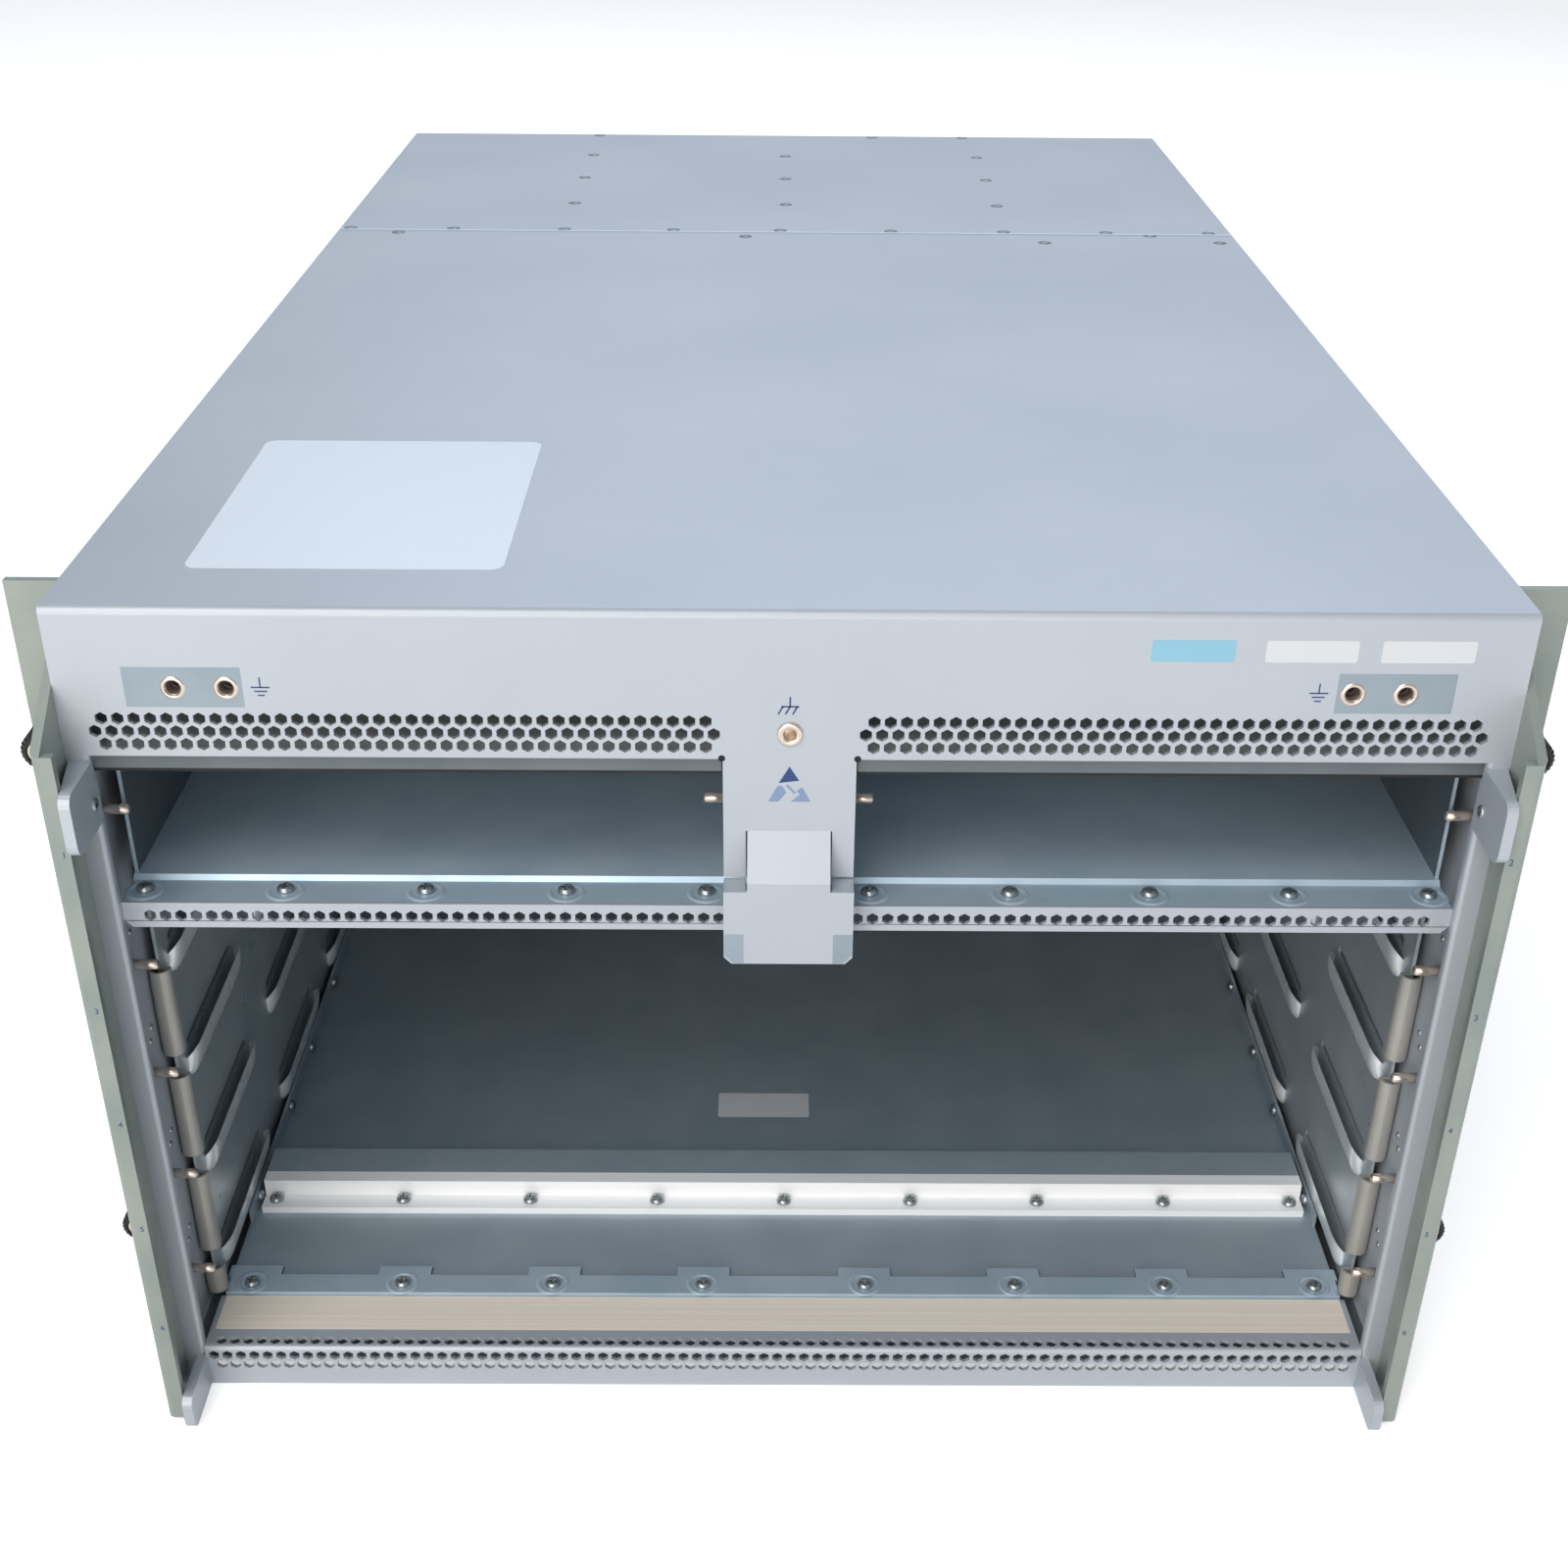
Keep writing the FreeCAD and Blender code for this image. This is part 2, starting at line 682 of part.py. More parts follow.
def make_bracket(name, side):
    body = new_body(name + "_rack_bracket")
    thick = size["ear_sheet"]
    reach = size["strip_reach"]
    outer = half_width + thick
    low, high = span(side, half_width, outer)
    ear_rear = size["ear_front"] + thick
    plate = [
        (-reach, size["strip_bottom"]),
        (ear_rear, size["strip_bottom"]),
        (ear_rear, ear_top),
        (size["ear_front"], ear_top),
        (-reach, strip_top),
    ]
    pad(body, "X", low, high, [plate])
    low, high = span(side, half_width, size["rack_width"] / 2)
    ear = rectangle(low, size["strip_bottom"], high, ear_top)
    pad(body, "Y", size["ear_front"], ear_rear, [ear])
    low, high = span(side, outer - size["strip_width"], outer)
    strip = rectangle(low, size["strip_bottom"], high, strip_top)
    pad(body, "Y", -reach, thick - reach, [strip])
    round_edges(
        body,
        size["bend_radius"],
        lambda edge: along(edge, "Z") and at(edge, x=side * outer.value, y=-reach.value),
    )
    holes = [
        regular(side * rack_line, height, size["ear_hole"], ROUND_SIDES)
        for height in (size["knob_low"], size["knob_high"])
    ]
    cut(body, "Y", size["ear_front"], ear_rear, holes)
    return body


# ---------------------------------------------------------------- shelf, deck and divider


def make_mid_shelf():
    body = new_body("mid_shelf")
    step = size["shelf_step"]
    step_start = size["shelf_step_depth"]
    top = size["shelf_top"]
    front = size["lip_front"] + sheet
    fold = [
        (front, top - zinc),
        (step_start + step, top - zinc),
        (shelf_joggle_end, shelf_bay_floor - zinc),
        (shelf_rear, shelf_bay_floor - zinc),
        (shelf_rear, shelf_bay_floor),
        (step_start + step, shelf_bay_floor),
        (step_start, top),
        (front, top),
    ]
    pad(body, "X", -flange_inner, flange_inner, [fold])
    for _name, side in SIDES:
        low, high = span(side, flange_inner - zinc, flange_inner)
        wall = rectangle(shelf_joggle_end, shelf_bay_floor, shelf_rear, bezel_bottom - gap)
        pad(body, "X", low, high, [wall])
    return body


def make_shelf_lip():
    body = new_body("shelf_lip")
    front = size["lip_front"]
    back = front + sheet
    top = size["shelf_top"]
    bottom = top - size["lip_height"]
    under = top - zinc
    return_rear = size["shelf_step_depth"] - gap
    fold = [
        (front, bottom),
        (back, bottom),
        (back, under - sheet),
        (return_rear, under - sheet),
        (return_rear, under),
        (back, under),
        (back, top),
        (front, top),
    ]
    pad(body, "X", -flange_inner, flange_inner, [fold])
    count = size["lip_slots"]
    first = size["lip_margin"] - flange_inner
    slot_pitch = -2 * first / count
    middle = (bottom + under - sheet) / 2
    half_slot = size["hex_flat"] / 2
    slot = rectangle(first + hex_web, middle - half_slot, first + slot_pitch, middle + half_slot)
    slots = cut(body, "Y", front, back, [slot])
    repeat(body, slots, (("H_Axis", count, slot_pitch),))
    return body


def make_duct_deck():
    body = new_body("duct_deck")
    deck = rectangle(-panel_inner, bezel_bottom, panel_inner, deck_top)
    pad(body, "Y", sheet, midplane_rear, [deck])
    return body


def make_centre_divider():
    body = new_body("centre_divider")
    half = size["divider_width"] / 2
    bottom = shelf_bay_floor
    top = bezel_bottom
    fold = [
        (-half, bottom),
        (zinc - half, bottom),
        (zinc - half, top - zinc),
        (half - zinc, top - zinc),
        (half - zinc, bottom),
        (half, bottom),
        (half, top),
        (-half, top),
    ]
    pad(body, "Y", size["shelf_step_depth"] + size["divider_setback"], shelf_rear, [fold])
    return body


# ---------------------------------------------------------------- floor of the cage


def make_lower_bezel():
    body = new_body("lower_bezel")
    height = size["grille_height"]
    fold = [
        (0, 0),
        (size["flange_return"], 0),
        (size["flange_return"], sheet),
        (sheet, sheet),
        (sheet, height - sheet),
        (size["grille_depth"], height - sheet),
        (size["grille_depth"], height),
        (0, height),
    ]
    pad(body, "X", -flange_inner, flange_inner, [fold])
    round_edges(
        body,
        size["grille_bend"],
        lambda edge: along(edge, "X") and at(edge, y=0, z=height.value),
    )
    count = size["grille_slots"]
    first = size["grille_margin"] - flange_inner
    slot_pitch = -2 * first / count
    slots = []
    for row in (1, 2):
        bottom = height - size["grille_drop"] - row * hex_row
        top = bottom + size["hex_flat"]
        slots.append(rectangle(first + hex_web, bottom, first + slot_pitch, top))
    front_slots = cut(body, "Y", 0, sheet, slots)
    repeat(body, front_slots, (("H_Axis", count, slot_pitch),))
    start = size["grille_setback"]
    top_slot = rectangle(first + hex_web, start, first + slot_pitch, start + size["hex_flat"])
    top_slots = cut(body, "Z", height - sheet, height, [top_slot])
    repeat(body, top_slots, (("H_Axis", count, slot_pitch),))
    return body


def make_base_pan():
    body = new_body("base_pan")
    start = size["flange_return"]
    stop = rear_face - sheet
    pad(body, "Z", 0, sheet, [rectangle(-panel_inner, start, panel_inner, stop)])
    for _name, side in SIDES:
        low, high = span(side, panel_inner - sheet, panel_inner)
        pad(body, "X", low, high, [rectangle(start + gap, sheet, stop, floor_bottom)])
    return body


def make_cage_floor():
    body = new_body("cage_floor")
    rear = rear_face - sheet
    fold = [
        (size["grille_depth"], floor_bottom),
        (rear - zinc, floor_bottom),
        (rear - zinc, sheet),
        (rear, sheet),
        (rear, floor_top),
        (size["grille_depth"], floor_top),
    ]
    pad(body, "X", -floor_edge, floor_edge, [fold])
    start = size["bar_front"] - size["floor_fold_lead"]
    for _name, side in SIDES:
        low, high = span(side, floor_edge - zinc, floor_edge)
        wall = rectangle(start, floor_top, shelf_rear, floor_top + size["floor_fold"])
        pad(body, "X", low, high, [wall])
    return body


STRIP_TABS = 4


def strip_tab_places():
    """X of the raised tabs of the floor's strip, four on each side."""
    first = size["strip_tab_first"]
    pitch = (flange_inner - size["strip_tab_margin"] - first) / (STRIP_TABS - 1)
    return [
        side * (first + step * pitch) for _name, side in SIDES for step in range(STRIP_TABS)
    ]


def make_floor_strip():
    body = new_body("floor_strip")
    front = size["grille_depth"] + gap
    rear = size["floor_strip_rear"]
    top = floor_top + zinc
    pad(body, "Z", floor_top, top, [rectangle(-floor_edge, front, floor_edge, rear)])
    half_tab = size["strip_tab_width"] / 2
    tabs = [
        rectangle(place - half_tab, rear - gap, place + half_tab, rear + size["strip_tab_reach"])
        for place in strip_tab_places()
    ]
    pad(body, "Z", floor_top, top, tabs)
    return body


def make_floor_bar():
    body = new_body("floor_bar")
    front = size["bar_front"]
    ledge = front + size["bar_ledge"]
    ledge_top = floor_top + size["bar_ledge_height"]
    top = floor_top + size["bar_height"]
    fold = [
        (front, floor_top),
        (bar_rear, floor_top),
        (bar_rear, top),
        (ledge, top),
        (ledge, ledge_top),
        (front, ledge_top),
    ]
    pad(body, "X", -bar_edge, bar_edge, [fold])
    return body


def make_floor_sill():
    body = new_body("floor_sill")
    rear = bar_rear + size["sill_depth"]
    top = floor_top + size["bar_height"]
    fold = [
        (bar_rear, top - zinc),
        (rear - zinc, top - zinc),
        (rear - zinc, floor_top),
        (rear, floor_top),
        (rear, top),
        (bar_rear, top),
    ]
    pad(body, "X", -bar_edge, bar_edge, [fold])
    return body


# ---------------------------------------------------------------- card guides


def make_guide_wall(name, side):
    body = new_body(name + "_guide_wall")
    inner = size["guide_wall_inner"]
    front = size["guide_wall_front"]
    low, high = span(side, inner, inner + zinc)
    ceiling = size["shelf_top"] - zinc - sheet
    wall = rectangle(front, floor_top + gap, shelf_rear, ceiling)
    pad(body, "X", low, high, [wall])
    add_rails(body, side)
    add_rolls(body, side)
    return body


def add_rails(body, side):
    """Card rails pressed inward out of the wall, each with its open side on top."""
    inner = size["guide_wall_inner"]
    top = size["pin_low"] - size["rail_drop"]
    start = size["rail_first"]
    wedge = [
        (side * inner, top - size["rail_band"]),
        (side * inner, top),
        (side * (inner - size["rail_rise"]), top),
    ]
    first = pad(body, "Y", start, start + size["rail_length"], [wedge])
    grid = (
        ("N_Axis", size["rail_segments"], size["rail_pitch"]),
        ("V_Axis", size["rail_rows"], size["unit_height"]),
    )
    repeat(body, first, grid)


def add_rolls(body, side):
    """The wall's front edge, jogged inward and rolled to a half tube between the guides."""
    wall = size["guide_wall_inner"]
    middle = wall + zinc / 2
    front = size["guide_wall_front"]
    back = front + size["roll_wall"]
    outer = half_ring(side, middle, front, size["roll_radius"])
    inner = half_ring(side, middle, front, size["roll_radius"] - size["roll_wall"])
    jog = [(side * wall, front), (side * wall, back), (outer[0][0], back)]
    ring = outer[1:] + inner[::-1] + jog
    top = size["pin_low"] - size["roll_drop"]
    pad(body, "Z", size["roll_foot"], top, [ring])
    second = top + size["unit_height"]
    roll = pad(body, "Z", second - size["roll_length"], second, [ring])
    repeat(body, roll, (("N_Axis", size["rail_rows"] - 1, size["unit_height"]),))


def half_ring(side, middle, front, radius):
    """A half circle in three chords, open to the rear and standing in front of the wall."""
    points = []
    for step in range(4):
        angle = math.pi * step / 3
        across = side * (middle - radius * math.cos(angle))
        points.append((across, front - radius * math.sin(angle)))
    return points


def make_midplane():
    body = new_body("midplane")
    board = rectangle(-flange_inner, floor_top, flange_inner, bezel_bottom)
    pad(body, "Y", size["midplane_depth"], midplane_rear, [board])
    return body


# ---------------------------------------------------------------- rear bays


def make_rear_shelf():
    body = new_body("rear_shelf")
    start = midplane_rear + gap
    stop = rear_face - sheet - size["rear_play"]
    top = size["shelf_top"]
    pad(body, "Z", top - zinc, top, [rectangle(-panel_inner, start, panel_inner, stop)])
    return body


def make_supply_divider(name, offset):
    body = new_body(name)
    middle = offset * size["supply_pitch"]
    left = middle - zinc / 2
    flange = middle + size["supply_flange"]
    bottom = size["shelf_top"]
    top = cover_underside
    fold = [
        (left, bottom),
        (left + zinc, bottom),
        (left + zinc, top - zinc),
        (flange, top - zinc),
        (flange, top),
        (left, top),
    ]
    start = size["seam_depth"] + size["supply_setback"]
    pad(body, "Y", start, rear_face - sheet - size["rear_play"], [fold])
    return body


# ---------------------------------------------------------------- turned pieces and screws


def faceted(profile, sides, place, direction):
    """A many-sided solid round an axis, from a closed outline of (radius, distance) points."""
    count = len(profile)
    faces = []
    for index in range(count):
        ring = profile[index]
        following = profile[(index + 1) % count]
        if ring[0] == 0 and following[0] == 0:
            continue
        for step in range(sides):
            corners = [
                spin(ring, step, sides),
                spin(following, step, sides),
                spin(following, step + 1, sides),
                spin(ring, step + 1, sides),
            ]
            if following[0] == 0:
                del corners[2]
            elif ring[0] == 0:
                del corners[3]
            faces.append(Part.Face(Part.makePolygon(corners + corners[:1])))
    solid = Part.Solid(Part.makeShell(faces)).removeSplitter()
    if solid.Volume < 0:
        solid.reverse()
    turn = FreeCAD.Rotation(FreeCAD.Vector(0, 0, 1), FreeCAD.Vector(*direction))
    solid.Placement = FreeCAD.Placement(FreeCAD.Vector(*place), turn)
    return solid


def spin(point, step, sides):
    """A point of an outline, turned by some of the sides."""
    radius, distance = point
    angle = 2 * math.pi * (step % sides) / sides
    return FreeCAD.Vector(radius * math.cos(angle), radius * math.sin(angle), distance)


def round_bore(solid, radius, start, stop, place, direction):
    """Drills a round hole along the axis of a faceted solid."""
    tool = Part.makeCylinder(
        radius, stop - start, FreeCAD.Vector(0, 0, start), FreeCAD.Vector(0, 0, 1)
    )
    turn = FreeCAD.Rotation(FreeCAD.Vector(0, 0, 1), FreeCAD.Vector(*direction))
    tool.Placement = FreeCAD.Placement(FreeCAD.Vector(*place), turn)
    return solid.cut(tool)


def add_group(label, solids):
    """One node for identical pieces, each of them its own solid."""
    node = doc.addObject("Part::Feature", label)
    node.Label = label
    node.Shape = Part.makeCompound(solids) if len(solids) > 1 else solids[0]
    return node


FORWARD = (0, -1, 0)


def make_pins():
    """Guide pins on the side panels and on the centre divider."""
    radius = size["pin_radius"].value
    length = size["pin_length"].value
    pin = [(0, 0), (radius, 0), (radius, length), (0, length)]
    depth = size["pin_depth"].value
    wall = panel_inner.value
    for name, side in SIDES:
        pins = []
        for slot in range(int(size["rail_rows"].value)):
            height = size["pin_low"].value + slot * size["unit_height"].value
            place = (side * wall, depth, height)
            pins.append(faceted(pin, PIN_SIDES, place, (-side, 0, 0)))
        add_group(name + "_line_card_pins", pins)
    height = (shelf_bay_floor + size["supervisor_pin_rise"]).value
    divider_face = size["divider_width"].value / 2
    divider_front = size["shelf_step_depth"] + size["divider_setback"]
    divider_depth = (divider_front + size["divider_pin_setback"]).value
    pins = []
    for _name, side in SIDES:
        place = (side * wall, depth, height)
        pins.append(faceted(pin, PIN_SIDES, place, (-side, 0, 0)))
        place = (side * divider_face, divider_depth, height)
        pins.append(faceted(pin, PIN_SIDES, place, (side, 0, 0)))
    add_group("supervisor_pins", pins)


def make_ground_points():
    """Clinch nuts behind the ground lug holes, and the wrist strap socket."""
    thick = sheet.value
    clearance = (size["lug_bore"] + size["nut_play"]).value
    rim = clearance + size["nut_wall"].value
    stop = thick + size["nut_height"].value
    nut = [(clearance, thick), (rim, thick), (rim, stop), (clearance, stop)]
    nuts = []
    for _name, side in SIDES:
        for step in (-0.5, 0.5):
            across = side * size["lug_middle"].value + step * size["lug_pitch"].value
            place = (across, 0, lug_height.value)
            nuts.append(faceted(nut, PIN_SIDES, place, (0, 1, 0)))
    add_group("ground_nuts", nuts)
    depth = thick + size["socket_length"].value
    rim = size["socket_body"].value
    front = -size["socket_rim"].value
    body = [(0, front), (rim, front), (rim, depth), (0, depth)]
    place = (0, 0, socket_height.value)
    socket = faceted(body, ROUND_SIDES, place, (0, 1, 0))
    bore = size["socket_bore"].value
    socket = round_bore(socket, bore, 2 * front, depth + thick, place, (0, 1, 0))
    add_group("wrist_strap_socket", [socket])


def make_captive_screws():
    """Captive rack screws: a steel screw in a black knob, held by a ferrule in the ear."""
    shank = size["shank_radius"].value
    collar = size["collar_length"].value
    sleeve_radius = size["ear_hole"].value
    ferrule = [(0, 0), (sleeve_radius, 0), (sleeve_radius, collar), (0, collar)]
    start = collar + size["collar_gap"].value
    stop = start + size["knob_length"].value
    rim = size["knob_radius"].value
    core = size["core_radius"].value
    bevel = size["knob_bevel"].value
    knob = [(core, start), (rim, start), (rim, stop - bevel), (rim - bevel, stop), (core, stop)]
    tip = -size["shank_length"].value
    core_stop = stop - size["core_depth"].value
    screw = [
        (0, tip),
        (shank, tip),
        (shank, start),
        (core, start),
        (core, core_stop),
        (0, core_stop),
    ]
    bore = shank + size["fit_gap"].value
    depth = (size["ear_front"] + size["ear_sheet"]).value
    ferrules = []
    for name, side in SIDES:
        for level, height in (("lower", size["knob_low"]), ("upper", size["knob_high"])):
            place = (side * rack_line.value, depth, height.value)
            sleeve = faceted(ferrule, ROUND_SIDES, place, FORWARD)
            ferrules.append(round_bore(sleeve, bore, -collar, 2 * collar, place, FORWARD))
            label = level + "_" + name
            add_group(label + "_knob", [faceted(knob, ROUND_SIDES, place, FORWARD)])
            add_group(label + "_rack_screw", [faceted(screw, ROUND_SIDES, place, FORWARD)])
    add_group("screw_ferrules", ferrules)


# ---------------------------------------------------------------- build and export


def build():
    make_top_cover()
    make_rear_cover()
    for name, side in SIDES:
        make_side_panel(name, side)
        make_bracket(name, side)
        make_guide_wall(name, side)
    make_mid_shelf()
    make_shelf_lip()
    make_duct_deck()
    make_centre_divider()
    make_lower_bezel()
    make_base_pan()
    make_cage_floor()
    make_floor_strip()
    make_floor_bar()
    make_floor_sill()
    make_midplane()
    make_rear_shelf()
    make_supply_divider("left_supply_divider", -1)
    make_supply_divider("middle_supply_divider", 0)
    make_supply_divider("right_supply_divider", 1)
    make_pins()
    make_ground_points()
    make_captive_screws()


def export():
    """Checks every piece and writes it as a STEP file named after its label."""
    os.makedirs("parts", exist_ok=True)
    for item in doc.Objects:
        if "Invalid" in item.State or "Error" in item.State:
            raise RuntimeError("%s is %s" % (item.Label, item.State))
    for item in doc.Objects:
        is_body = item.TypeId == "PartDesign::Body"
        is_group = item.TypeId == "Part::Feature" and not item.InList
        if not (is_body or is_group):
            continue
        shape = item.Shape
        if shape.isNull() or not shape.isValid() or not shape.Solids:
            raise RuntimeError("%s has no valid solid" % item.Label)
        shape.exportStep("parts/%s.step" % item.Label)
        print("%-24s %3d solids %12.1f mm3" % (item.Label, len(shape.Solids), shape.Volume))


build()
export()
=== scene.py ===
import json
import math

import bmesh
import bpy
from bpy.props import FloatProperty, IntProperty, PointerProperty
from mathutils import Matrix, Vector

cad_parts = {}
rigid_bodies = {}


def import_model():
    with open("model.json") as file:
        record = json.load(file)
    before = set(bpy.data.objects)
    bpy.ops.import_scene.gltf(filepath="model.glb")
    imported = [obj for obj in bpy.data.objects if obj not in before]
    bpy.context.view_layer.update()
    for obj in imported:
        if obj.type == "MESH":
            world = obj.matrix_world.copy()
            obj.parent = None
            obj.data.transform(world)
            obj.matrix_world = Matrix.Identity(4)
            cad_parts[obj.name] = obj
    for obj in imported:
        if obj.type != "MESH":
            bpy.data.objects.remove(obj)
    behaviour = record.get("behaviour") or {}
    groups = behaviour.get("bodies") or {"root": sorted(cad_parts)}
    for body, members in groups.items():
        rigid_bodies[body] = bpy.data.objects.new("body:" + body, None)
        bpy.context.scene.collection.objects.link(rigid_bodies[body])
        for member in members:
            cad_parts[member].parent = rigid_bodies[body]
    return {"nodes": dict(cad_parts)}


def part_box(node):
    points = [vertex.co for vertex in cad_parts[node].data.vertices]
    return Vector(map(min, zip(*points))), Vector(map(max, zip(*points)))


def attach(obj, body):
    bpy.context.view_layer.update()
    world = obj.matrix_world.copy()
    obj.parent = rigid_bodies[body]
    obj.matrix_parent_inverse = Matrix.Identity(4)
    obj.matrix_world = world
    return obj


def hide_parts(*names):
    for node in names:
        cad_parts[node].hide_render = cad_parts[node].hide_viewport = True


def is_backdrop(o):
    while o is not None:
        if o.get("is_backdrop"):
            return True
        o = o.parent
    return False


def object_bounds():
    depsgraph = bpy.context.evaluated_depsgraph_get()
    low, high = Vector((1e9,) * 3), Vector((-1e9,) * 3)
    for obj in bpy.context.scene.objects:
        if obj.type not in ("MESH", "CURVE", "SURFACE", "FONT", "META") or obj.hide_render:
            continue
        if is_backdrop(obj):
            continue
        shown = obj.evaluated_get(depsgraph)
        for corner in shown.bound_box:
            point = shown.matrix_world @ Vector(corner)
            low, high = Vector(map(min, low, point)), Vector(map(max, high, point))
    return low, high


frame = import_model()

bl_info = {
    "name": "Chassis switch finish",
    "version": (1, 0, 0),
    "blender": (4, 5, 0),
    "location": "View3D > Sidebar > Chassis",
    "description": "Sheet metal finish, vents, screws and marks of a rack chassis",
    "category": "Object",
}

MM = 0.001
CHASSIS = "chassis"

# ---------------------------------------------------------------- sizes, in millimetres

HALF_BODY = 221.0
BODY_TOP = 310.0
SHEET = 1.5
FLANGE_INNER = 214.0
SEAM = 478.0
HEX_FLAT = 3.65
HEX_PITCH = 4.93
HEX_ROW = HEX_PITCH * math.sqrt(3) / 2
BEZEL_BOTTOM = 261.5
LUG_MIDDLE = 176.9
LUG_PITCH = 15.875
LUG_HEIGHT = 284.3
SOCKET_HEIGHT = 270.1
SHELF_TOP = 207.1
LIP_FRONT = 3.5
LIP_BOTTOM = 198.0
FLOOR = 18.0
STRIP_FRONT = -20.5
EAR_FACE = 33.0
RACK_LINE = 232.55
LEVELS = ("lower", "upper")
SLOT_PITCH = 44.45
SLOTS = 4
PIN_LOW = 41.6
SIDES = (("left", -1), ("right", 1))

# The lower bezel and the lip of the shelf.
GRILLE_PITCH = 4.96
GRILLE_BEND = 1.8
GRILLE_DEPTH = 28.0
BARE_START = 10.0
LIP_PITCH = 4.95
LIP_MIDDLE = 202.4
LIP_CORNER = 2.5
LIP_FOLD_BOTTOM = 204.4
LIP_FOLD_TOP = 205.9
LIP_FOLD_END = 17.0

# The guide walls, with their embossed rails and rolled front edges.
WALL = 215.0
WALL_SHEET = 1.2
WALL_FRONT = 31.0
WALL_REAR = 469.0
WALL_BOTTOM = 19.0
WALL_TOP = 204.4
RAIL_START = 40.0
RAIL_LENGTH = 73.0
RAIL_PITCH = 105.0
RAIL_RISE = 4.0
RAIL_TOP = 6.6
RAIL_BOTTOM = 19.8
RAIL_DOME = 6.0
SLIT = 2.6
SLIT_END = 3.0
ROLL = 3.8
ROLL_MIDDLE = 215.6
ROLL_SHEET = 1.0
ROLL_FOOT = 20.0
ROLL_BOTTOM = 45.2
ROLL_TOP = 10.5

# The side panels: front flange, rear fold and handling tabs.
FLANGE_BEND = 1.6
FLANGE_DEPTH = 3.4
REAR_FOLD = 7.0
TAB_INNER = 213.5
TAB_OUTER = 217.0
TAB_CORNER = 4.0
TAB_HEIGHTS = ((0.0, 14.5), (238.5, 259.5))
GUSSET_OUTER = 220.5
GUSSET_BOTTOM = 257.5
GUSSET_TOP = 259.5

# Guide pins.
PIN_RADIUS = 1.75
PIN_LENGTH = 9
PIN_DEPTH = 17
BAY_PIN_HEIGHT = 234
DIVIDER_HALF = 18.5
DIVIDER_PIN_DEPTH = 27

# Where the small screws sit: across the body, or along its depth.
SIDE_SCREWS = (84.0, 144.0, 188.0, 241.0)
SEAM_SCREWS = (-216.0, -165.0, -110.0, -56.0, -3.0, 52.0, 108.0, 159.0, 210.0)
FRONT_SCREWS = ((-191.0, 474.0), (-20.0, 470.0), (126.0, 461.0), (180.0, 477.0), (212.0, 463.0))
REAR_COLUMNS = (-110, 0, 110)
REAR_ROWS = (542.0, 606.0, 668.0)
REAR_EDGE = ((-111.0, 727.0), (52.0, 726.0), (106.0, 727.0))
STRIP_FIRST = 31.0
STRIP_RISE = 1.2

# The deck's folded edge and the painted shadow under it, the catch plate, films of print and
# paper, and the screws.
DECK_FOLD_BOTTOM = 256.3
GAP_SHADOW_BOTTOM = 255.2
CATCH_FRONT = -9.0
PRINT = 0.05
LABEL = 0.08
BORE = 2.5
FLUTES = 24
CORE = 4.2


# ---------------------------------------------------------------- materials


def srgb(code):
    """Linear colour of an sRGB hex code."""
    channels = [int(code[i : i + 2], 16) / 255 for i in (1, 3, 5)]
    linear = [c / 12.92 if c <= 0.04045 else ((c + 0.055) / 1.055) ** 2.4 for c in channels]
    return (*linear, 1.0)


def add_node(tree, kind, inputs=None, **settings):
    """Adds a node, sets its plain settings and its unlinked inputs."""
    node = tree.nodes.new(kind)
    for name, value in settings.items():
        setattr(node, name, value)
    for name, value in (inputs or {}).items():
        if isinstance(value, bpy.types.NodeSocket):
            tree.links.new(value, node.inputs[name])
        else:
            node.inputs[name].default_value = value
    return node


def base_material(name):
    """A bare material, its node tree and the place on the object that patterns follow."""
    material = bpy.data.materials.new(name)
    material.use_nodes = True
    tree = material.node_tree
    tree.nodes.clear()
    coordinates = add_node(tree, "ShaderNodeTexCoord")
    return material, tree, coordinates.outputs["Object"]


def close_material(tree, inputs):
    """Ends a node tree in one principled shader."""
    shader = add_node(tree, "ShaderNodeBsdfPrincipled", inputs)
    add_node(tree, "ShaderNodeOutputMaterial", {"Surface": shader.outputs["BSDF"]})


def mottled(tree, place, scale, low, high, detail=4.0):
    """A soft noise that runs between two values."""
    noise = add_node(
        tree, "ShaderNodeTexNoise", {"Vector": place, "Scale": scale, "Detail": detail}
    )
    spread = add_node(
        tree,
        "ShaderNodeMapRange",
        {"Value": noise.outputs["Fac"], "From Min": 0.3, "From Max": 0.7,
         "To Min": low, "To Max": high},
    )
    return spread.outputs["Result"]


def two_tones(tree, factor, first, second):
    """A colour between two hex codes."""
    mix = add_node(tree, "ShaderNodeMix", {"Factor": factor}, data_type="RGBA")
    mix.inputs["A"].default_value = srgb(first)
    mix.inputs["B"].default_value = srgb(second)
    return mix.outputs["Result"]


def bumps(tree, height, distance, strength):
    """Fine relief from a pattern."""
    bump = add_node(
        tree,
        "ShaderNodeBump",
        {"Height": height, "Distance": distance, "Strength": strength},
    )
    return bump.outputs["Normal"]


def sheet_paint():
    """Silver metallic powder paint with a fine grain."""
    material, tree, place = base_material("silver powder paint")
    grain = mottled(tree, place, 2600.0, 0.0, 1.0, 2.0)
    cloud = mottled(tree, place, 9.0, 0.0, 1.0)
    close_material(tree, {
        "Base Color": two_tones(tree, cloud, "#B0B7BF", "#B8BEC5"),
        "Metallic": 0.35,
        "Roughness": 0.46,
        "Normal": bumps(tree, grain, 0.00006, 0.25),
    })
    return material


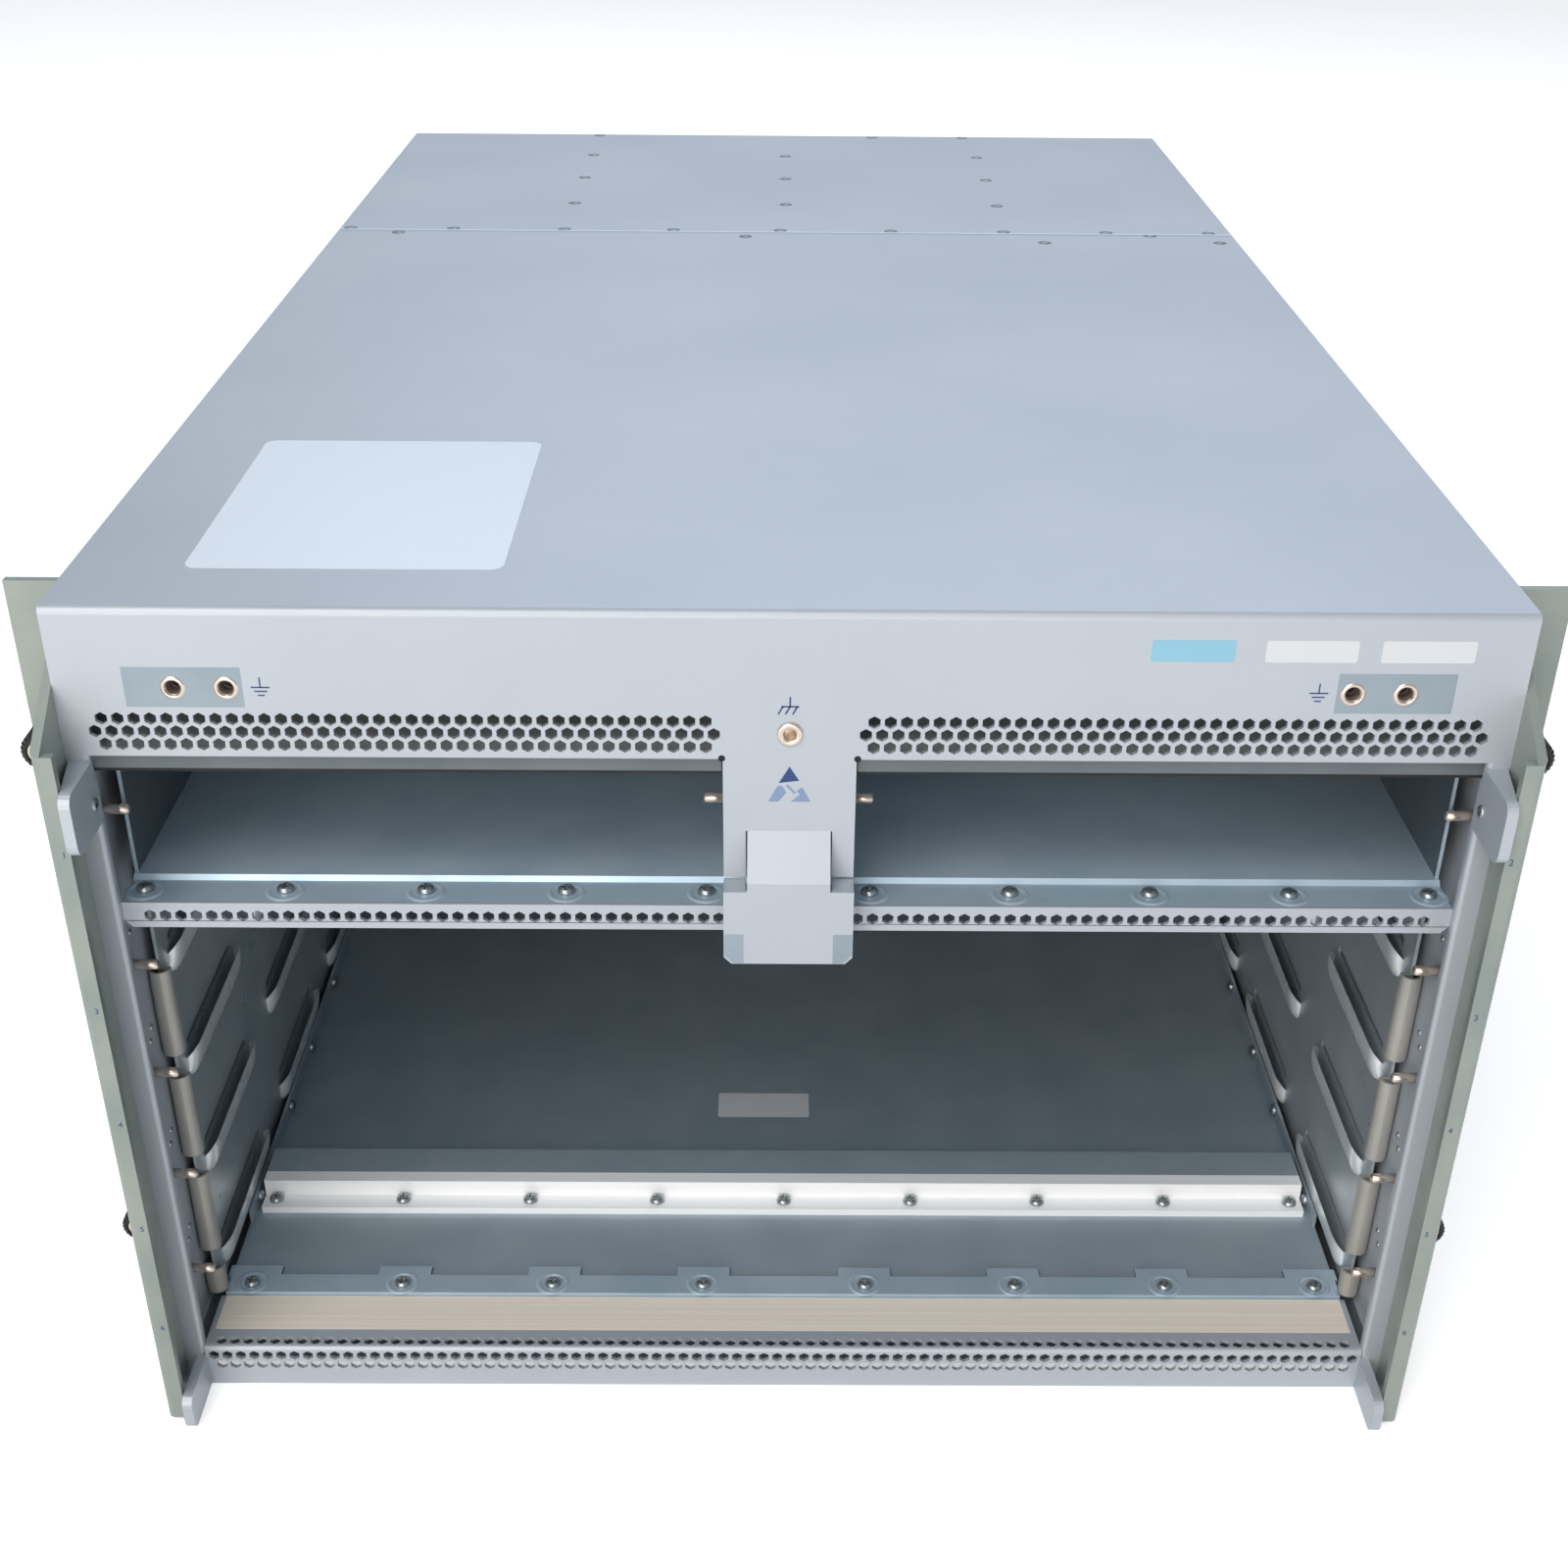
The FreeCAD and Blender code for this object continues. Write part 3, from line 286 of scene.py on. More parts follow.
def painted_shade_on_uprights(tree, colour, code):
    """The colour of a folded sheet, turned to the given one on the folds that face sideways."""
    geometry = add_node(tree, "ShaderNodeNewGeometry")
    split = add_node(tree, "ShaderNodeSeparateXYZ", {0: geometry.outputs["True Normal"]})
    across = add_node(tree, "ShaderNodeMath", {0: split.outputs["X"]}, operation="ABSOLUTE")
    upright = add_node(
        tree, "ShaderNodeMath", {0: across.outputs[0], 1: 0.7}, operation="GREATER_THAN"
    )
    mix = add_node(tree, "ShaderNodeMix", {"Factor": upright.outputs[0]}, data_type="RGBA")
    tree.links.new(colour, mix.inputs["A"])
    mix.inputs["B"].default_value = srgb(code)
    return mix.outputs["Result"]


def zinc_plate(name, first, second, roughness, metallic=0.55, upright_shade=None):
    """Clear zinc plating on rolled steel, faintly mottled."""
    material, tree, place = base_material(name)
    cloud = mottled(tree, place, 38.0, 0.0, 1.0, 6.0)
    colour = two_tones(tree, cloud, first, second)
    if upright_shade:
        # Painted shade: the folds that face sideways get a darker colour.
        colour = painted_shade_on_uprights(tree, colour, upright_shade)
    close_material(tree, {
        "Base Color": colour,
        "Metallic": metallic,
        "Roughness": mottled(tree, place, 24.0, roughness - 0.06, roughness + 0.08),
    })
    return material


def brushed_metal(name, first, second, stretch, roughness, metallic):
    """Metal brushed along the stretch with the lowest number."""
    material, tree, place = base_material(name)
    scaled = add_node(tree, "ShaderNodeMapping", {"Vector": place, "Scale": stretch})
    lines = mottled(tree, scaled.outputs["Vector"], 1.0, 0.0, 1.0, 5.0)
    close_material(tree, {
        "Base Color": two_tones(tree, lines, first, second),
        "Metallic": metallic,
        "Roughness": roughness,
        "Normal": bumps(tree, lines, 0.00008, 0.3),
    })
    return material


def plain_finish(name, code, metallic, roughness):
    """A finish of one colour whose sheen varies slightly."""
    material, tree, place = base_material(name)
    close_material(tree, {
        "Base Color": srgb(code),
        "Metallic": metallic,
        "Roughness": mottled(tree, place, 60.0, roughness - 0.05, roughness + 0.05),
    })
    return material


FINISHES = {}


def make_finishes():
    """Fills the table of finishes, one for each real surface."""
    FINISHES.clear()
    # Powder paint of the covers, the bezels and the side panels.
    FINISHES["paint"] = sheet_paint()
    # Greenish zinc plating of the rack ears.
    FINISHES["zinc"] = zinc_plate("zinc plated ears", "#8C9691", "#9CA39B", 0.42, 0.35)
    # Plating of the card cage and all sheet that has no finish of its own.
    FINISHES["cage"] = zinc_plate("zinc plated cage", "#B2BCC2", "#C2CACE", 0.32, 0.55)
    # Paler, matt plating of the deck below the air duct.
    FINISHES["deck"] = zinc_plate("zinc plated deck", "#DADFE2", "#E8EBED", 0.5, 0.1)
    # Plating of the pressed card rails, made brighter than the flat wall as painted highlight on
    # their round ends.
    FINISHES["louvre"] = zinc_plate("pressed zinc rail with painted highlight", "#E4E9EC", "#EEF1F3", 0.26, 0.4)
    # Bluish plating of the shelf, with painted shade on its upright folds.
    FINISHES["shelf"] = zinc_plate(
        "zinc plated shelf", "#AFC4D2", "#BFD0DC", 0.36, 0.4, "#5E686F"
    )
    # The deck's folded front edge, darkened as painted shade.
    FINISHES["fold"] = zinc_plate("zinc plated fold in painted shade", "#5E676C", "#6A7276", 0.4, 0.3)
    # Plating of the cage floor and its sill.
    FINISHES["floor"] = zinc_plate("zinc plated floor", "#96A4AE", "#A2AFB8", 0.36, 0.3)
    # Rolled wall edges, rubbed by the cards.
    FINISHES["roll"] = zinc_plate("worn zinc edge", "#A6A49E", "#B4B2AC", 0.42, 0.35)
    # Unpainted step of the lower bezel.
    FINISHES["bare"] = brushed_metal(
        "brushed bare edge", "#EFE2D2", "#F6ECDF", (3.0, 900.0, 900.0), 0.5, 0.1
    )
    # Drawn aluminium bar across the floor.
    FINISHES["bar"] = brushed_metal(
        "drawn aluminium bar", "#F2F4F5", "#FAFBFB", (4.0, 500.0, 500.0), 0.35, 0.1
    )
    # Masked patches, left without paint for the ground lugs.
    FINISHES["pad"] = zinc_plate("bare ground patch", "#8C9AA4", "#98A5AE", 0.45, 0.35)
    # A painted highlight for a lit sheet edge, a black strip of painted shadow, plated steel,
    # boards and holes.
    FINISHES["cut edge"] = plain_finish("painted edge highlight", "#DCE8F4", 0.2, 0.35)
    FINISHES["gasket"] = plain_finish("black painted gap shadow", "#101214", 0.0, 0.7)
    FINISHES["nickel"] = plain_finish("nickel plated steel", "#DCCDC0", 0.8, 0.26)
    FINISHES["screw"] = plain_finish("zinc plated screw", "#A4ABAD", 0.9, 0.3)
    FINISHES["board"] = plain_finish("dark circuit board", "#1B2A22", 0.0, 0.6)
    FINISHES["knob"] = plain_finish("black anodised knob", "#151618", 0.2, 0.4)
    FINISHES["hole"] = plain_finish("dark opening", "#1B1D20", 0.0, 0.9)
    FINISHES["seam shadow"] = plain_finish("shadowed seam", "#7C8894", 0.2, 0.6)
    # Screen print and labels.
    FINISHES["print"] = plain_finish("blue print", "#243F75", 0.0, 0.5)
    FINISHES["faded print"] = plain_finish("faded blue print", "#7F92B4", 0.0, 0.5)
    FINISHES["label"] = plain_finish("white label", "#DDE6EF", 0.0, 0.35)
    FINISHES["blue label"] = plain_finish("light blue label", "#8ABDD2", 0.0, 0.4)
    FINISHES["paper"] = plain_finish("white sticker", "#D3D6D9", 0.0, 0.45)


# ---------------------------------------------------------------- mesh helpers


def welded(mesh_tool, name, reach=0.001):
    """A mesh in metres out of a bmesh built in millimetres."""
    bmesh.ops.remove_doubles(mesh_tool, verts=mesh_tool.verts, dist=reach)
    bmesh.ops.recalc_face_normals(mesh_tool, faces=mesh_tool.faces)
    bmesh.ops.scale(mesh_tool, vec=(MM, MM, MM), verts=mesh_tool.verts)
    mesh = bpy.data.meshes.new(name)
    mesh_tool.to_mesh(mesh)
    mesh_tool.free()
    return mesh


def keep(mesh_tool, name, finish, body=CHASSIS, instead_of=()):
    """Turns a bmesh, built in millimetres, into a finished piece of the object."""
    mesh = welded(mesh_tool, name)
    for finish_name in (finish,) if isinstance(finish, str) else finish:
        mesh.materials.append(FINISHES[finish_name])
    piece = bpy.data.objects.new(name, mesh)
    bpy.context.scene.collection.objects.link(piece)
    settle(piece, body, instead_of)


def settle(piece, body, instead_of):
    """Ties a piece to its body, its material slot and the CAD nodes it stands in for."""
    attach(piece, body)
    if instead_of:
        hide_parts(*instead_of)


def add_block(mesh_tool, low, high, material=0):
    """A box between two corners."""
    made = bmesh.ops.create_cube(mesh_tool, size=1.0)
    size = [high[i] - low[i] for i in range(3)]
    middle = [(high[i] + low[i]) / 2 for i in range(3)]
    for vertex in made["verts"]:
        vertex.co = Vector([vertex.co[i] * size[i] + middle[i] for i in range(3)])
        for face in vertex.link_faces:
            face.material_index = material


def add_prism(mesh_tool, outline, axis, start, stop, material=0):
    """A flat outline pushed along an axis: X takes (y, z), Y takes (x, z), Z takes (x, y)."""

    def place(point, along):
        first, second = point
        if axis == "X":
            return (along, first, second)
        if axis == "Y":
            return (first, along, second)
        return (first, second, along)

    rings = [
        [mesh_tool.verts.new(place(point, along)) for point in outline]
        for along in (start, stop)
    ]
    faces = [mesh_tool.faces.new(rings[0]), mesh_tool.faces.new(rings[1][::-1])]
    count = len(outline)
    for index in range(count):
        following = (index + 1) % count
        faces.append(
            mesh_tool.faces.new(
                (rings[0][index], rings[1][index], rings[1][following], rings[0][following])
            )
        )
    for face in faces:
        face.material_index = material


def rounded(left, bottom, right, top, radius, steps=4):
    """Outline of a rectangle with round corners."""
    points = []
    corners = (
        (right - radius, bottom + radius, -90),
        (right - radius, top - radius, 0),
        (left + radius, top - radius, 90),
        (left + radius, bottom + radius, 180),
    )
    for across, up, start in corners:
        for step in range(steps + 1):
            angle = math.radians(start + 90 * step / steps)
            points.append((across + radius * math.cos(angle), up + radius * math.sin(angle)))
    return points


def add_lathe(mesh_tool, profile, place, direction, segments=24):
    """Spins an open outline of (radius, distance) points about a direction."""
    turn = Vector((0, 0, 1)).rotation_difference(Vector(direction)).to_matrix()
    place = Vector(place)
    rings = []
    for radius, distance in profile:
        if radius == 0:
            rings.append([mesh_tool.verts.new(place + turn @ Vector((0, 0, distance)))])
            continue
        ring = []
        for step in range(segments):
            angle = 2 * math.pi * step / segments
            spot = Vector((radius * math.cos(angle), radius * math.sin(angle), distance))
            ring.append(mesh_tool.verts.new(place + turn @ spot))
        rings.append(ring)
    for lower, upper in zip(rings, rings[1:]):
        for step in range(segments):
            following = (step + 1) % segments
            corners = [lower[step % len(lower)], lower[following % len(lower)]]
            corners += [upper[following % len(upper)], upper[step % len(upper)]]
            unique = list(dict.fromkeys(corners))
            face = mesh_tool.faces.new(unique)
            face.smooth = True


def hexagon():
    """The corners of a vent hole that stands on a point, about its middle."""
    corner = HEX_FLAT / math.sqrt(3)
    return [
        (corner * math.sin(math.radians(60 * step)), corner * math.cos(math.radians(60 * step)))
        for step in range(6)
    ]


# ---------------------------------------------------------------- repeated pieces


def template(name, mesh_tool):
    """An unlinked object in metres that Geometry Nodes repeats."""
    return bpy.data.objects.new(name, welded(mesh_tool, name, 0.0005))


def repeat_tree():
    """Geometry Nodes group: one copy of a piece at every point, turned the same way."""
    tree = bpy.data.node_groups.new("Repeated piece", "GeometryNodeTree")
    sockets = (
        ("Points", "INPUT", "NodeSocketGeometry"),
        ("Piece", "INPUT", "NodeSocketObject"),
        ("Turn", "INPUT", "NodeSocketRotation"),
        ("Finish", "INPUT", "NodeSocketMaterial"),
        ("Pieces", "OUTPUT", "NodeSocketGeometry"),
    )
    for name, direction, kind in sockets:
        tree.interface.new_socket(name, in_out=direction, socket_type=kind)
    start = add_node(tree, "NodeGroupInput").outputs
    info = add_node(tree, "GeometryNodeObjectInfo", {"Object": start["Piece"]})
    copies = add_node(
        tree,
        "GeometryNodeInstanceOnPoints",
        {
            "Points": start["Points"],
            "Instance": info.outputs["Geometry"],
            "Rotation": start["Turn"],
        },
    )
    real = add_node(
        tree, "GeometryNodeRealizeInstances", {"Geometry": copies.outputs["Instances"]}
    )
    coated = add_node(
        tree,
        "GeometryNodeSetMaterial",
        {"Geometry": real.outputs["Geometry"], "Material": start["Finish"]},
    )
    add_node(tree, "NodeGroupOutput", {"Pieces": coated.outputs["Geometry"]})
    return tree


def repeated(name, piece, places, turn, finish):
    """A plain mesh of one piece repeated at places in millimetres."""
    mesh = bpy.data.meshes.new(name + " points")
    mesh.from_pydata([Vector(place) * MM for place in places], [], [])
    holder = bpy.data.objects.new(name + " points", mesh)
    bpy.context.scene.collection.objects.link(holder)
    bpy.context.scene.collection.objects.link(piece)
    tree = bpy.data.node_groups.get("Repeated piece") or repeat_tree()
    modifier = holder.modifiers.new("Repeat", "NODES")
    modifier.node_group = tree
    values = {"Piece": piece, "Turn": turn, "Finish": FINISHES[finish]}
    for socket in tree.interface.items_tree:
        if socket.name in values:
            modifier[socket.identifier] = values[socket.name]
    holder.update_tag()
    graph = bpy.context.evaluated_depsgraph_get()
    baked = bpy.data.meshes.new_from_object(holder.evaluated_get(graph), depsgraph=graph)
    baked.name = name
    bpy.data.objects.remove(holder)
    bpy.data.objects.remove(piece)
    return baked


def join(name, meshes, body=CHASSIS, instead_of=()):
    """One piece out of several baked meshes."""
    mesh_tool = bmesh.new()
    finishes = []
    for mesh in meshes:
        start = len(mesh_tool.faces)
        mesh_tool.from_mesh(mesh)
        own = list(mesh.materials)
        mesh_tool.faces.ensure_lookup_table()
        for face in mesh_tool.faces[start:]:
            material = own[face.material_index]
            if material not in finishes:
                finishes.append(material)
            face.material_index = finishes.index(material)
    joined = bpy.data.meshes.new(name)
    mesh_tool.to_mesh(joined)
    mesh_tool.free()
    for material in finishes:
        joined.materials.append(material)
    piece = bpy.data.objects.new(name, joined)
    bpy.context.scene.collection.objects.link(piece)
    settle(piece, body, instead_of)


def baked(mesh_tool, name, finish):
    """A plain mesh in metres, ready to be joined with others."""
    mesh = welded(mesh_tool, name)
    mesh.materials.append(FINISHES[finish])
    return mesh


def pan_head(radius, height):
    """Template of a pan head with a cross recess."""
    mesh_tool = bmesh.new()
    profile = [
        (0, -0.3),
        (radius, -0.3),
        (radius, height * 0.35),
        (radius * 0.86, height * 0.8),
        (radius * 0.5, height),
        (0, height),
    ]
    add_lathe(mesh_tool, profile, (0, 0, 0), (0, 0, 1), 20)
    head = template("pan head", mesh_tool)
    cutter_tool = bmesh.new()
    arm = radius * 0.52
    half = radius * 0.13
    add_block(cutter_tool, (-arm, -half, height * 0.35), (arm, half, height * 2))
    add_block(cutter_tool, (-half, -arm, height * 0.35), (half, arm, height * 2))
    cutter = template("cross recess", cutter_tool)
    scene = bpy.context.scene.collection.objects
    scene.link(head)
    scene.link(cutter)
    recess = head.modifiers.new("Recess", "BOOLEAN")
    recess.object = cutter
    recess.operation = "DIFFERENCE"
    recess.use_self = True
    graph = bpy.context.evaluated_depsgraph_get()
    mesh = bpy.data.meshes.new_from_object(head.evaluated_get(graph), depsgraph=graph)
    bpy.data.objects.remove(head)
    bpy.data.objects.remove(cutter)
    return bpy.data.objects.new("pan head", mesh)


def vent_cell(pitch, row):
    """Template of one cell of a perforated sheet: a plate with a hexagonal hole."""
    mesh_tool = bmesh.new()
    half = pitch / 2
    tall = row / 2
    rim = [(-half, -tall), (half, -tall), (half, tall), (-half, tall)]
    inner = hexagon()
    levels = []
    for depth in (0, SHEET):
        outer = [mesh_tool.verts.new((across, depth, up)) for across, up in rim]
        hole = [mesh_tool.verts.new((across, depth, up)) for across, up in inner]
        levels.append(hole)
        edges = [mesh_tool.edges.new((outer[i], outer[(i + 1) % 4])) for i in range(4)]
        edges += [mesh_tool.edges.new((hole[i], hole[(i + 1) % 6])) for i in range(6)]
        bmesh.ops.triangle_fill(mesh_tool, edges=edges, use_beauty=True)
    for i in range(6):
        following = (i + 1) % 6
        mesh_tool.faces.new(
            (levels[0][i], levels[0][following], levels[1][following], levels[1][i])
        )
    return template("vent cell", mesh_tool)


# ---------------------------------------------------------------- pieces


def finish_cad():
    """Gives every CAD node its finish: zinc plated cage sheet unless named here."""
    painted = ("top_cover", "rear_top_cover", "left_side_panel", "right_side_panel")
    finishes = {name: "paint" for name in painted}
    finishes.update({
        "left_rack_bracket": "zinc",
        "right_rack_bracket": "zinc",
        "floor_bar": "bar",
        "cage_floor": "floor",
        "floor_sill": "floor",
        "mid_shelf": "shelf",
        "duct_deck": "deck",
        "midplane": "board",
        "floor_strip": "shelf",
        "ground_nuts": "nickel",
        "screw_ferrules": "nickel",
    })
    for name, node in frame["nodes"].items():
        finish = FINISHES[finishes.get(name, "cage")]
        if not node.material_slots:
            node.data.materials.append(finish)
        for slot in node.material_slots:
            slot.material = finish


def row_places(count, pitch, depth, height):
    """Places in a row across the body, about its middle."""
    first = -(count - 1) * pitch / 2
    return [(first + step * pitch, depth, height) for step in range(count)]


def lower_bezel(sizes):
    """The lower bezel with its three rows of hexagonal holes."""
    pitch = GRILLE_PITCH
    row = HEX_ROW
    bend = GRILLE_BEND
    count = sizes.grille_columns
    upper = FLOOR - bend - row / 2
    edge = FLANGE_INNER
    wide = count * pitch / 2
    narrow = (count - 1) * pitch / 2
    upright = row_places(count, pitch, 0, upper)
    upright += row_places(count - 1, pitch, 0, upper - row)
    lying = row_places(count - 1, pitch, bend + row / 2, FLOOR)
    meshes = [
        repeated("front rows", vent_cell(pitch, row), upright, (0, 0, 0), "paint"),
        repeated(
            "top row", vent_cell(pitch, row), lying, (-math.pi / 2, 0, 0), "paint"
        ),
    ]
    mesh_tool = bmesh.new()
    low = upper - 1.5 * row
    add_block(mesh_tool, (-edge, 0, 0), (edge, SHEET, low))
    back = bend + row
    add_block(mesh_tool, (-edge, back, FLOOR - SHEET), (edge, GRILLE_DEPTH, FLOOR))
    for side in (-1, 1):
        for inner, bottom in ((wide, upper - row / 2), (narrow, low)):
            ends = sorted((side * inner, side * edge))
            add_block(mesh_tool, (ends[0], 0, bottom), (ends[1], SHEET, bottom + row))
        ends = sorted((side * narrow, side * edge))
        add_block(mesh_tool, (ends[0], bend, FLOOR - SHEET), (ends[1], back, FLOOR))
    outline = []
    for radius in (bend, bend - SHEET):
        arc = [
            (bend - radius * math.cos(math.radians(angle)),
             FLOOR - bend + radius * math.sin(math.radians(angle)))
            for angle in range(0, 91, 15)
        ]
        outline += arc if radius == bend else arc[::-1]
    add_prism(mesh_tool, outline, "X", -edge, edge)
    meshes.append(baked(mesh_tool, "lower bezel sheet", "paint"))
    strip = bmesh.new()
    add_block(strip, (-edge + 2, BARE_START, FLOOR), (edge - 2, GRILLE_DEPTH, FLOOR + 0.12))
    meshes.append(baked(strip, "bare edge", "bare"))
    join("lower_bezel_vents", meshes, instead_of=("lower_bezel",))


def shelf_lip(sizes):
    """The painted lip of the shelf with its row of hexagonal holes."""
    pitch = LIP_PITCH
    row = HEX_ROW
    middle = LIP_MIDDLE
    count = sizes.lip_columns
    holes = repeated(
        "lip row",
        vent_cell(pitch, row),
        row_places(count, pitch, LIP_FRONT, middle),
        (0, 0, 0),
        "paint",
    )
    mesh_tool = bmesh.new()
    edge = FLANGE_INNER
    wide = count * pitch / 2
    back = LIP_FRONT + SHEET
    lower = [
        (-edge, middle - row / 2),
        (-edge, LIP_BOTTOM + LIP_CORNER),
        (-edge + LIP_CORNER, LIP_BOTTOM),
    ]
    lower += [(-across, up) for across, up in lower[::-1]]
    add_prism(mesh_tool, lower, "Y", LIP_FRONT, back)
    add_block(mesh_tool, (-edge, LIP_FRONT, middle + row / 2), (edge, back, SHELF_TOP))
    for side in (-1, 1):
        ends = sorted((side * wide, side * edge))
        add_block(
            mesh_tool, (ends[0], LIP_FRONT, middle - row / 2), (ends[1], back, middle + row / 2)
        )
    add_block(mesh_tool, (-edge, back, LIP_FOLD_BOTTOM), (edge, LIP_FOLD_END, LIP_FOLD_TOP))
    sheet = baked(mesh_tool, "lip sheet", "paint")
    join("shelf_lip_vents", [holes, sheet], instead_of=("shelf_lip",))


def grid_sheet(mesh_tool, across, up, is_open, near, far):
    """A sheet across X, cut into cells by (y, z) lines, where some of the cells are open."""
    columns = len(across) - 1
    rows = len(up) - 1

    def solid(column, row):
        inside = 0 <= column < columns and 0 <= row < rows
        return inside and not is_open(column, row)

    def corner(column, row, level):
        return mesh_tool.verts.new((level, across[column], up[row]))

    for column in range(columns):
        for row in range(rows):
            if not solid(column, row):
                continue
            for level in (near, far):
                mesh_tool.faces.new([
                    corner(column, row, level), corner(column + 1, row, level),
                    corner(column + 1, row + 1, level), corner(column, row + 1, level),
                ])
            borders = (
                ((column - 1, row), (column, row), (column, row + 1)),
                ((column + 1, row), (column + 1, row), (column + 1, row + 1)),
                ((column, row - 1), (column, row), (column + 1, row)),
                ((column, row + 1), (column, row + 1), (column + 1, row + 1)),
            )
            for neighbour, first, second in borders:
                if not solid(*neighbour):
                    mesh_tool.faces.new([
                        corner(*first, near), corner(*second, near),
                        corner(*second, far), corner(*first, far),
                    ])


def add_louvre(mesh_tool, side, start, pin, material):
    """An embossed card rail: bulged inward with round ends, and open along its top."""
    stop = start + RAIL_LENGTH
    top = pin - RAIL_TOP
    bottom = pin - RAIL_BOTTOM
    stations = 26
    profile_steps = 7
    rings = []
    for station in range(stations + 1):
        share = (1 - math.cos(math.pi * station / stations)) / 2
        along = start + RAIL_LENGTH * share
        edge = min(along - start, stop - along)
        swell = 1.0 if edge > RAIL_DOME else math.sqrt(1 - (1 - edge / RAIL_DOME) ** 2)
        ring = []
        for step in range(profile_steps + 1):
            angle = math.pi / 2 * step / profile_steps
            drop = (top - bottom) * math.sin(angle) * (0.4 + 0.6 * swell)
            rise = RAIL_RISE * swell * math.cos(angle)
            middle = (top - bottom) * 0.3 * (1 - swell)
            ring.append(
                mesh_tool.verts.new((side * (WALL - rise), along, top - middle - drop))
            )
        rings.append(ring)
    for lower, upper in zip(rings, rings[1:]):
        for step in range(profile_steps):
            face = mesh_tool.faces.new(
                (lower[step], lower[step + 1], upper[step + 1], upper[step])
            )
            face.smooth = True
            face.material_index = material


def add_roll(mesh_tool, side, low, high, material):
    """A stretch of the wall's rolled front edge, with the jog that carries it."""
    rings = []
    for radius in (ROLL, ROLL - ROLL_SHEET):
        ring = []
        for step in range(13):
            angle = math.pi * step / 12
            across = ROLL_MIDDLE - radius * math.cos(angle)
            ring.append((side * across, WALL_FRONT - radius * math.sin(angle)))
        rings.append(ring)
    back = WALL_FRONT + ROLL_SHEET
    jog = [(side * WALL, WALL_FRONT), (side * WALL, back), (rings[0][0][0], back)]
    add_prism(mesh_tool, rings[0] + rings[1][::-1] + jog, "Z", low, high, material)


def guide_walls(sizes):
    """Walls of the line card cage: embossed rails, each with a slit along its top."""
    starts = [RAIL_START + RAIL_PITCH * step for step in range(sizes.rail_segments)]
    pins = [PIN_LOW + SLOT_PITCH * slot for slot in range(SLOTS)]
    across = [WALL_FRONT]
    for start in starts:
        across += [start + SLIT_END, start + RAIL_LENGTH - SLIT_END]
    across.append(WALL_REAR)
    up = [WALL_BOTTOM]
    for pin in pins:
        up += [pin - RAIL_TOP, pin - RAIL_TOP + SLIT]
    up.append(WALL_TOP)
    for name, side in SIDES:
        mesh_tool = bmesh.new()
        grid_sheet(
            mesh_tool,
            across,
            up,
            lambda column, row: column % 2 == 1 and row % 2 == 1,
            side * WALL,
            side * (WALL + WALL_SHEET),
        )
        for start in starts:
            for pin in pins:
                add_louvre(mesh_tool, side, start, pin, 2)
        for pin in pins:
            bottom = max(pin - ROLL_BOTTOM, ROLL_FOOT)
            add_roll(mesh_tool, side, bottom, pin - ROLL_TOP, 1)
        keep(
            mesh_tool,
            name + "_rail_wall",
            ("cage", "roll", "louvre"),
            instead_of=(name + "_guide_wall",),
        )


def flank_section(side, depth):
    """Plan of a side panel, from its rolled front flange to the rear edge."""
    inner = HALF_BODY - SHEET
    bend = FLANGE_BEND
    arc = []
    for step in range(7):
        angle = math.pi / 2 * step / 6
        arc.append((
            side * (FLANGE_INNER + bend - bend * math.cos(angle)),
            bend - bend * math.sin(angle),
        ))
    return arc + [
        (side * HALF_BODY, 0.0),
        (side * HALF_BODY, depth),
        (side * inner, depth),
        (side * inner, SHEET + 1.0),
        (side * (FLANGE_INNER + bend + 1.0), SHEET + 1.0),
        (side * (FLANGE_INNER + 1.0), FLANGE_DEPTH),
        (side * FLANGE_INNER, FLANGE_DEPTH),
    ]


def tab_outline(bottom, top, reach):
    """Side view of a handling tab with round front corners."""
    outline = [(0.0, bottom), (0.0, top)]
    for corner_up, turn in ((top - TAB_CORNER, 0), (bottom + TAB_CORNER, 1)):
        for step in range(5):
            angle = math.pi / 2 * (step / 4 + turn)
            along = TAB_CORNER - reach - TAB_CORNER * math.sin(angle)
            outline.append((along, corner_up + TAB_CORNER * math.cos(angle)))
    return outline


def side_panels(sizes):
    """Painted side panels, their front flange rolled at its inner edge, with both tabs."""
    inner = HALF_BODY - SHEET
    underside = BODY_TOP - SHEET
    for name, side in SIDES:
        low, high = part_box(name + "_side_panel")
        reach = -low[1] / MM
        depth = high[1] / MM
        mesh_tool = bmesh.new()
        add_prism(mesh_tool, flank_section(side, depth), "Z", 0.0, BEZEL_BOTTOM)
        ends = sorted((side * inner, side * HALF_BODY))
        add_block(mesh_tool, (ends[0], SHEET, BEZEL_BOTTOM), (ends[1], depth, underside))
        ends = sorted((side * (inner - REAR_FOLD), side * inner))
        add_block(mesh_tool, (ends[0], depth - SHEET, 0.0), (ends[1], depth, underside))
        tab_ends = sorted((side * TAB_INNER, side * TAB_OUTER))
        for bottom, top in TAB_HEIGHTS:
            add_prism(mesh_tool, tab_outline(bottom, top, reach), "X", *tab_ends)
        outer = side * TAB_OUTER
        web = [(outer, 0.0), (side * GUSSET_OUTER, 0.0), (outer, TAB_CORNER - reach)]
        add_prism(mesh_tool, web, "Z", GUSSET_BOTTOM, GUSSET_TOP)
        keep(
            mesh_tool,
            name + "_flank",
            "paint",
            instead_of=(name + "_side_panel",),
        )


